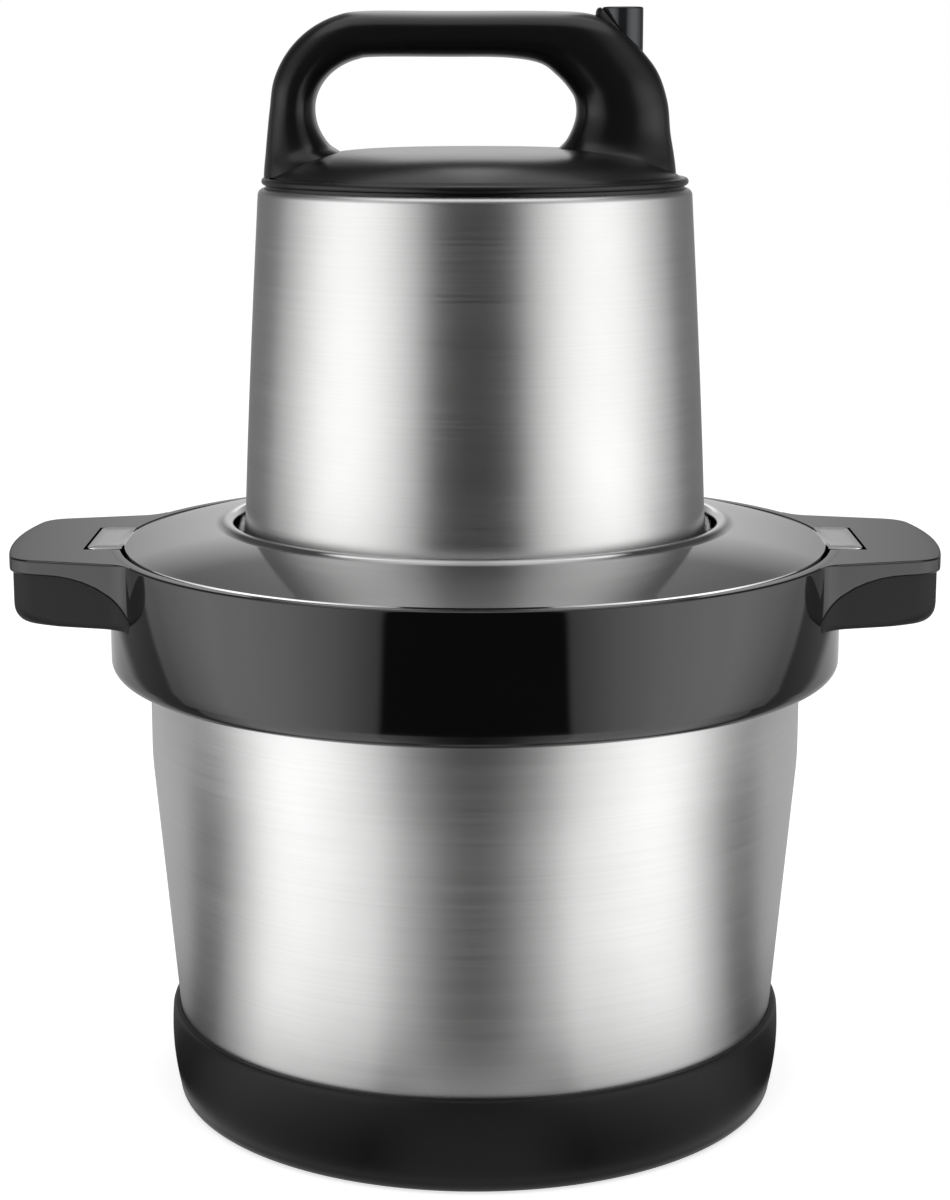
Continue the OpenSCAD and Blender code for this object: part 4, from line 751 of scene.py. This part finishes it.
def loopStations():
    # [outer x, outer z, opening x, opening z, half depth] down the bar from the left foot to the right
    low, column, deep, top, cornerR = sizesOf(loop, "base", "columnZ", "half", "top", "cornerR")
    footLeft, footRight, left, right = sizesOf(loop, "footLeft", "footRight", "openLeft", "openRight")
    openR, openTop, underDeck = loop["openR"], top - loop["bar"], head["deckZ"] - 2
    shoulderX, shoulderZ, cornerZ = button["x"] + button["radius"], top - 13.6, openTop - openR

    def lowCorner(start, way, degrees):
        # a point of the opening's lower corner, counted from where the corner begins
        a = math.radians(degrees)
        return start + way * openR * (1 - math.cos(a)), cornerZ - openR * math.sin(a)

    rows = [[-footLeft - 0.4, low, left + 16, underDeck, deep + 9],
            [-footLeft, column - 2, *lowCorner(left, 1, 62), deep + 6],
            [-footLeft + 0.6, column + 4, *lowCorner(left, 1, 42), deep + 3],
            [-footLeft + 1.3, column + 11, *lowCorner(left, 1, 20), deep + 1]]
    for a in np.radians(180 - 18 * np.arange(6)):
        rows.append([cornerR - footLeft + 2.2 + cornerR * math.cos(a), top - cornerR + cornerR * math.sin(a),
                     left + 21 + 21 * math.cos(a), cornerZ + openR * math.sin(a), deep])
    return np.array(rows + [
        [-10, top, -10, openTop, deep], [24, top, 10, openTop - 0.2, deep],
        [shoulderX - 18, top - 1, right - 13, openTop - 2, deep],
        [shoulderX - 8, top - 5.2, right - 7, openTop - 6, deep],
        [shoulderX, shoulderZ, right - 2.4, openTop - 11, deep],
        [shoulderX + 5.4, shoulderZ - 7.4, right - 0.4, openTop - 15, deep],
        [shoulderX + 8.6, shoulderZ - 17, right - 0.3, cornerZ - 3, deep],
        [footRight - 2.4, column + 11, *lowCorner(right, -1, 32), deep + 1],
        [footRight - 1.2, column + 4, *lowCorner(right, -1, 48), deep + 3],
        [footRight - 0.4, column - 2, *lowCorner(right, -1, 64), deep + 6],
        [footRight, low, right - 16, underDeck, deep + 9]])


def loopHalfPoints(side):
    # superellipse rings x = a |cos t|^0.8, y = b |sin t|^0.8 across the bar, out along the skin and back
    # along the wall's inside; the skin's first and last point dip in to leave a parting line
    stations = curveThrough(loopStations(), 9)
    outer, inner, depth = stations[:, 0:2], stations[:, 2:4], stations[:, 4]
    middle, reach = (outer + inner) / 2, np.linalg.norm(outer - inner, axis=1)
    across = (outer - inner) / reach[:, None]
    t = np.radians(np.r_[0, 0.25, 1.5, np.linspace(4, 176, 44), 178.5, 179.75, 180])

    def ring(wall):
        a, b = (reach / 2 - wall)[:, None], (depth - wall)[:, None]
        x = a * np.sign(np.cos(t)) * np.abs(np.cos(t)) ** loop["square"]
        y = b * np.abs(np.sin(t)) ** loop["square"]
        if wall == 0:
            x[:, 0] -= loop["seam"]
            x[:, -1] += loop["seam"]
        points = middle[:, None, :] + across[:, None, :] * x[:, :, None]
        return np.stack((points[..., 0], side * (y + 0.04), points[..., 1]), axis=2)

    return np.concatenate((ring(0.0), ring(loop["wall"])[:, ::-1]), axis=1)


def deckCutter():
    # what lies under the cap's deck
    r, low = head["deckR"] * np.cos(np.radians(np.linspace(0, 90, 40))), loop["base"] - 20
    profile = np.vstack(([[0, low], [86, low], [86, head["deckZ"]]], np.column_stack((r, domeZ(r) + 0.02))))
    return turned("deckCutter", profile, 128)


def guardPoints():
    # a tube round the button's bore; its rim follows a plane that dips to the right
    t = np.linspace(0, 2 * math.pi, 96, endpoint=False)
    rimTop, bore = loop["top"] + button["rise"] - 0.2, button["radius"] + button["gap"]
    start, slope = -button["radius"] - 0.6, math.tan(math.radians(button["guardTilt"]))

    def ring(radius, drop):
        x, y = radius * np.cos(t), radius * np.sin(t)
        z = np.minimum(rimTop, rimTop - (x - start) * slope) - drop
        return np.column_stack((x + button["x"], y, np.maximum(z, button["guardLow"])))

    outer = [(button["guard"] + 0.9, 8.0), (button["guard"] + 0.25, 5.0), (button["guard"], 3.4)]
    brow = [(button["guard"] - 0.15 - 1.3 * (1 - math.cos(a)), 2.0 * (1 - math.sin(a)))
            for a in np.radians((0, 25, 50, 70, 90))]
    lip = [(bore + 0.15, 0.0), (bore, 0.25), (bore, 8.0)]
    return np.stack([ring(radius, drop) for radius, drop in outer + brow + lip])


screwSpots = ((9.6 - loop["footLeft"], loop["columnZ"] + 14), (2.0, loop["top"] - loop["bar"] / 2),
              (loop["openRight"] + 0.6, loop["top"] - 10))
loopScrew = {"hole": 3.4, "seat": 7.0, "through": 30.0, "wall": 1.0, "shank": 1.8, "floor": 1.2,
             "mouth": 11.6}
inlet = {"x": 54.3, "z": 344.96, "face": 20.0, "from": 8.0, "through": 40.0, "bore": 5.0, "boss": 7.6,
         "root": 11.0, "rootZ": 16.2, "flare": 2.2, "edge": 0.8}
inletAxis = lyingBack(inlet["x"], inlet["z"])


def loopHalf(name, side):
    # one shell of the handle: minus the deck, the button's bore and, at the back, screw and cord holes
    obj = surface(name, loopHalfPoints(side), closeCols=True)
    cutters = [deckCutter(), cylinderCutter(button["radius"] + button["gap"], button["stemZ"],
                                            button["through"], upright(button["x"]))]
    if side > 0:
        screwHole = sizesOf(loopScrew, "hole", "seat", "through")
        cutters += [cylinderCutter(*screwHole, lyingBack(*spot), 40) for spot in screwSpots]
        cutters.append(cylinderCutter(*sizesOf(inlet, "bore", "from", "through"), inletAxis, 48))
    return carve(obj, cutters)


finishPiece(loopHalf("loopFront", -1), "motor_head", "satin_black", "handle_front_shell", crease=30)
finishPiece(loopHalf("loopRear", 1), "motor_head", "satin_black", "handle_rear_shell", crease=30)
buttonGuard = surface("buttonGuard", guardPoints(), closeRows=True, closeCols=True)
finishPiece(buttonGuard, "motor_head", "satin_black", "handle_front_shell", crease=30)

wide, seat, mouth, shank = sizesOf(loopScrew, "hole", "seat", "mouth", "shank")
low, out = seat - loopScrew["floor"], wide + loopScrew["wall"]
cup = np.array(((shank, low), (out, low), (out, mouth), (wide, mouth), (wide, seat), (shank, seat)))
screwWells = joined("screwWells", [turned("well", cup, 40, lyingBack(*spot)) for spot in screwSpots])
finishPiece(screwWells, "motor_head", "satin_black", "handle_rear_shell")

bore, boss, root, face, flare, edge = sizesOf(inlet, "bore", "boss", "root", "face", "flare", "edge")
bossProfile = np.vstack((
    [[bore, root], [boss + flare, root]],
    arcPoints((boss + flare, inlet["rootZ"]), flare, 270, 180, 8), [[boss, face - edge]],
    arcPoints((boss - edge, face - edge), edge, 0, 90, 6), [[bore, face]]))
finishPiece(turned("cordBoss", bossProfile, 96, inletAxis), "motor_head", "satin_black", "handle_rear_shell")

bush = {"bore": 3.2, "mouth": 0.4, "stem": 4.8, "low": 10.5, "flangeR": 8.0, "flangeZ": 21.0, "edge": 0.6,
        "high": 26.0, "tipR": 4.7, "neck": ((6.0, 22.4), (5.9, 22.6), (5.5, 22.8), (5.5, 23.3), (5.75, 23.5),
                                            (5.75, 24.0), (5.3, 24.2), (5.3, 24.7), (5.5, 24.9))}
bore, mouth, low, stem = sizesOf(bush, "bore", "mouth", "low", "stem")
flangeR, flangeZ, edge, high = sizesOf(bush, "flangeR", "flangeZ", "edge", "high")
bushProfile = np.vstack((
    [[bore, low], [stem, low], [stem, face], [flangeR, face], [flangeR, flangeZ]],
    arcPoints((flangeR - edge, flangeZ), edge, 0, 80, 5), bush["neck"],
    arcPoints((bush["tipR"], high - edge), edge, 0, 90, 5), [[bore + mouth, high]],
    arcPoints((bore + mouth, high - mouth), mouth, 90, 180, 5)))
finishPiece(turned("cordBush", bushProfile, 96, inletAxis), "motor_head", "foot_rubber", "cord_inlet")

crown, radius, edge = loop["top"] + button["rise"], button["radius"], button["edge"]
stemZ, flangeTop = button["stemZ"], button["stemZ"] + button["flange"]
dish = np.linspace(button["dishR"], 0, 14)
buttonProfile = np.vstack((
    [[0, stemZ], [button["guard"], stemZ], [button["guard"], flangeTop], [radius, flangeTop]],
    linePoints((radius, button["sideZ"]), (radius, crown - edge - 0.1), 4),
    arcPoints((radius - edge, crown - edge), edge, 0, 90, 8),
    # a shallow dish for the finger: crown - depth * (1 - (r / dishR) ^ 2)
    np.column_stack((dish, crown - button["dish"] * (1 - (dish / button["dishR"]) ** 2)))))
buttonCap = turned("buttonCap", buttonProfile, 96, upright(button["x"]))
finishPiece(buttonCap, "button", "dark_grey", "push_button")

# the return spring under the button: a wire of radius w carried round a helix of radius r,
# ((r + w cos q) cos t, (r + w cos q) sin t, rise * t + w sin q), which shortens as the button goes down
spring = {"coil": 4.0, "wire": 0.4, "turns": 3, "steps": 24, "round": 12, "travel": 4.0}
seat, top = (corner[2] * 1000 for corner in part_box("button_spring"))
along, q = np.meshgrid(np.linspace(0, 1, spring["steps"] * spring["turns"] + 1),
                       np.linspace(0, 2 * math.pi, spring["round"], endpoint=False), indexing="ij")
angle, reach = 2 * math.pi * spring["turns"] * along, spring["coil"] + spring["wire"] * np.cos(q)
rise = seat + spring["wire"] * (1 + np.sin(q)) + (top - seat - 2 * spring["wire"]) * along
coil = np.stack((button["x"] + reach * np.cos(angle), reach * np.sin(angle), rise), axis=2)
buttonSpring = surface("buttonSpring", coil, closeCols=True)
finishPiece(buttonSpring, "motor_head", "zinc_steel", "button_spring")
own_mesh(buttonSpring)
print("carry handle and button done")


# floor, light and camera

white = (1.0, 1.0, 1.0, 1.0)
ground = {"half": 6.0, "grey": (0.8, 0.8, 0.8), "glow": 0.72}
half = ground["half"]
floorMesh = bpy.data.meshes.new("floor")
floorMesh.from_pydata([(-half, -half, 0), (half, -half, 0), (half, half, 0), (-half, half, 0)], [],
                      [(0, 1, 2, 3)])
floor = placed("floor", floorMesh)
floorPaint, tree, paint = shaderBase("paleFloor", ground["grey"], {"Roughness": 1.0})
fillInputs(tree, paint, {"Specular IOR Level": 0.0, "Emission Color": white,
                         "Emission Strength": times(tree, seenRay(tree), ground["glow"])})
floorMesh.materials.append(floorPaint)

# A tent of card stands round the object and is seen in reflections only: dark card in front and behind
# the sides, a soft box at each side, a pale roof, and paler card towards the backdrop. Stops of a card are
# (bearing from the front in degrees, grey), then (share of the tent's height, factor). Near the floor,
# where the bowl and foot look, the pattern is drawn together.
tent = {"rings": ((112.5, 0.6), (1000.0, 500.0), (1250.0, 1150.0), (1000.0, 1700.0), (400.0, 1950.0),
                  (1.0, 2000.0)), "turns": 181, "high": 2.0,
        "drawZ": 0.1, "drawFade": 0.016, "draw": 0.8, "drawFrom": 24.0, "drawOver": 80.0,
        "ring": (((0.0, 0.022), (22.0, 0.022), (23.4, 0.62), (36.0, 1.3), (50.0, 1.8), (62.0, 1.92),
                  (76.0, 1.82), (90.0, 1.2), (104.0, 0.68), (112.0, 0.6), (113.5, 0.2), (150.0, 0.22),
                  (168.0, 0.66), (180.0, 0.66)),
                 ((0.0, 0.15), (0.005, 0.3), (0.014, 0.8), (0.03, 0.9), (0.06, 1.0), (0.22, 1.0),
                  (0.36, 0.35), (1.0, 0.3))),
        "backdrop": (((170.0, 0.0), (174.5, 1.0)),
                     ((0.18, 0.0), (0.24, 0.5), (0.42, 1.3), (0.7, 2.1), (1.0, 1.9))),
        "glint": (((0.0, 0.5), (10.0, 0.5), (22.0, 0.0)), ((0.0, 1.0), (0.006, 1.0), (0.012, 0.0))),
        "fill": (((0.0, 0.07), (8.0, 0.18), (21.0, 0.85), (34.0, 0.25), (44.0, 0.0)),
                 ((0.006, 0.0), (0.014, 1.0), (0.046, 1.0), (0.054, 0.0))),
        "roof": ((0.78, 0.0), (0.86, 1.1), (1.0, 1.1))}
turns = np.linspace(0, 2 * math.pi, tent["turns"])
tentPoints = np.array([[[r * math.sin(a), -r * math.cos(a), z] for a in turns] for r, z in tent["rings"]])
tentMesh = bpy.data.meshes.new("lightTent")
tentMesh.from_pydata([tuple(v) for v in tentPoints.reshape(-1, 3) * 0.001], [],
                     gridFaces(len(tent["rings"]), len(turns)).tolist())
lightTent = placed("lightTent", tentMesh)
tentCard = bpy.data.materials.new("tentCard")
tentCard.use_nodes = True
tree = tentCard.node_tree
tree.nodes.remove(tree.nodes["Principled BSDF"])


def greyRamp(tree, value, stops, span):
    # greys over stops given in the value's own unit, where span is the ramp's end
    return rampNode(tree, value, [(position / span, (grey,) * 3) for position, grey in stops])


def cardNode(tree, degrees, height, name):
    # grey by the bearing * grey by the height
    byBearing, byHeight = tent[name]
    share = mathNode(tree, "DIVIDE", degrees, 180.0)
    return times(tree, greyRamp(tree, share, byBearing, 180.0), greyRamp(tree, height, byHeight, 1.0))


x, y, z = newNode(tree, "ShaderNodeSeparateXYZ", {0: objectPlace(tree)}).outputs
bearing = mathNode(tree, "ABSOLUTE", mathNode(tree, "ARCTAN2", x, times(tree, y, -1.0)))
degrees = times(tree, bearing, 180 / math.pi)
# drawn bearing = b + draw * e ^ min((drawZ - z) / drawFade, 0) * b * max(b - drawFrom, 0) / drawOver
under = mathNode(tree, "DIVIDE", mathNode(tree, "SUBTRACT", tent["drawZ"], z), tent["drawFade"])
low = mathNode(tree, "EXPONENT", mathNode(tree, "MINIMUM", under, 0.0))
past = mathNode(tree, "MAXIMUM", mathNode(tree, "SUBTRACT", degrees, tent["drawFrom"]), 0.0)
pull = times(tree, low, tent["draw"] / tent["drawOver"], degrees, past)
high = mathNode(tree, "DIVIDE", z, tent["high"])
ring = cardNode(tree, mathNode(tree, "ADD", degrees, pull), high, "ring")
backdrop, glint, fill = (cardNode(tree, degrees, high, name) for name in ("backdrop", "glint", "fill"))
above = mathNode(tree, "MAXIMUM", backdrop, greyRamp(tree, high, tent["roof"], 1.0))
strength = mathNode(tree, "ADD", ring, above, glint, fill)
glow = newNode(tree, "ShaderNodeEmission", {"Color": white, "Strength": strength})
fillInputs(tree, tree.nodes["Material Output"], {"Surface": glow.outputs[0]})
tentMesh.materials.append(tentCard)
# only glossy rays see it
lightTent.visible_camera = lightTent.visible_diffuse = False
lightTent.visible_shadow = lightTent.visible_transmission = False


def softLight(name, place, aim, size, power):
    # a round lamp that points from its place to the aim and isn't seen in reflections
    data = bpy.data.lights.new(name, "AREA")
    data.shape, data.size, data.energy = "DISK", size, power
    obj = placed(name, data)
    obj.location = place
    away = np.array(aim) - np.array(place)
    obj.rotation_euler = (0, math.atan2(math.hypot(away[0], away[1]), -away[2]), math.atan2(away[1], away[0]))
    obj.visible_glossy = False


softLight("topLight", (0.0, -0.3, 1.7), (0, 0, 0.15), 1.6, 13)
softLight("leftLight", (-1.4, -0.9, 1.0), (0, 0, 0.18), 1.0, 8)
softLight("rightLight", (1.4, -0.9, 1.0), (0, 0, 0.18), 1.0, 8)

sky = {"lighting": 0.4, "shown": 1.0}
scene = bpy.context.scene
world = bpy.data.worlds.new("studio")
scene.world = world
world.use_nodes = True
tree = world.node_tree
strength = rangeNode(tree, seenRay(tree), sky["lighting"], sky["shown"])
fillInputs(tree, tree.nodes["Background"], {"Color": white, "Strength": strength})

eye = {"place": (0.0, -0.920, 0.364), "tilt": 78.58, "lens": 79.2, "sensor": 36.0, "clip": (0.01, 50.0)}
cameraData = bpy.data.cameras.new("camera")
cameraData.sensor_fit, cameraData.sensor_height, cameraData.lens = "VERTICAL", eye["sensor"], eye["lens"]
cameraData.clip_start, cameraData.clip_end = eye["clip"]
camera = placed("camera", cameraData)
camera.location = eye["place"]
camera.rotation_euler = (math.radians(eye["tilt"]), 0, 0)
scene.camera = camera
scene.view_settings.view_transform = "Standard"
print("floor, light and camera done")
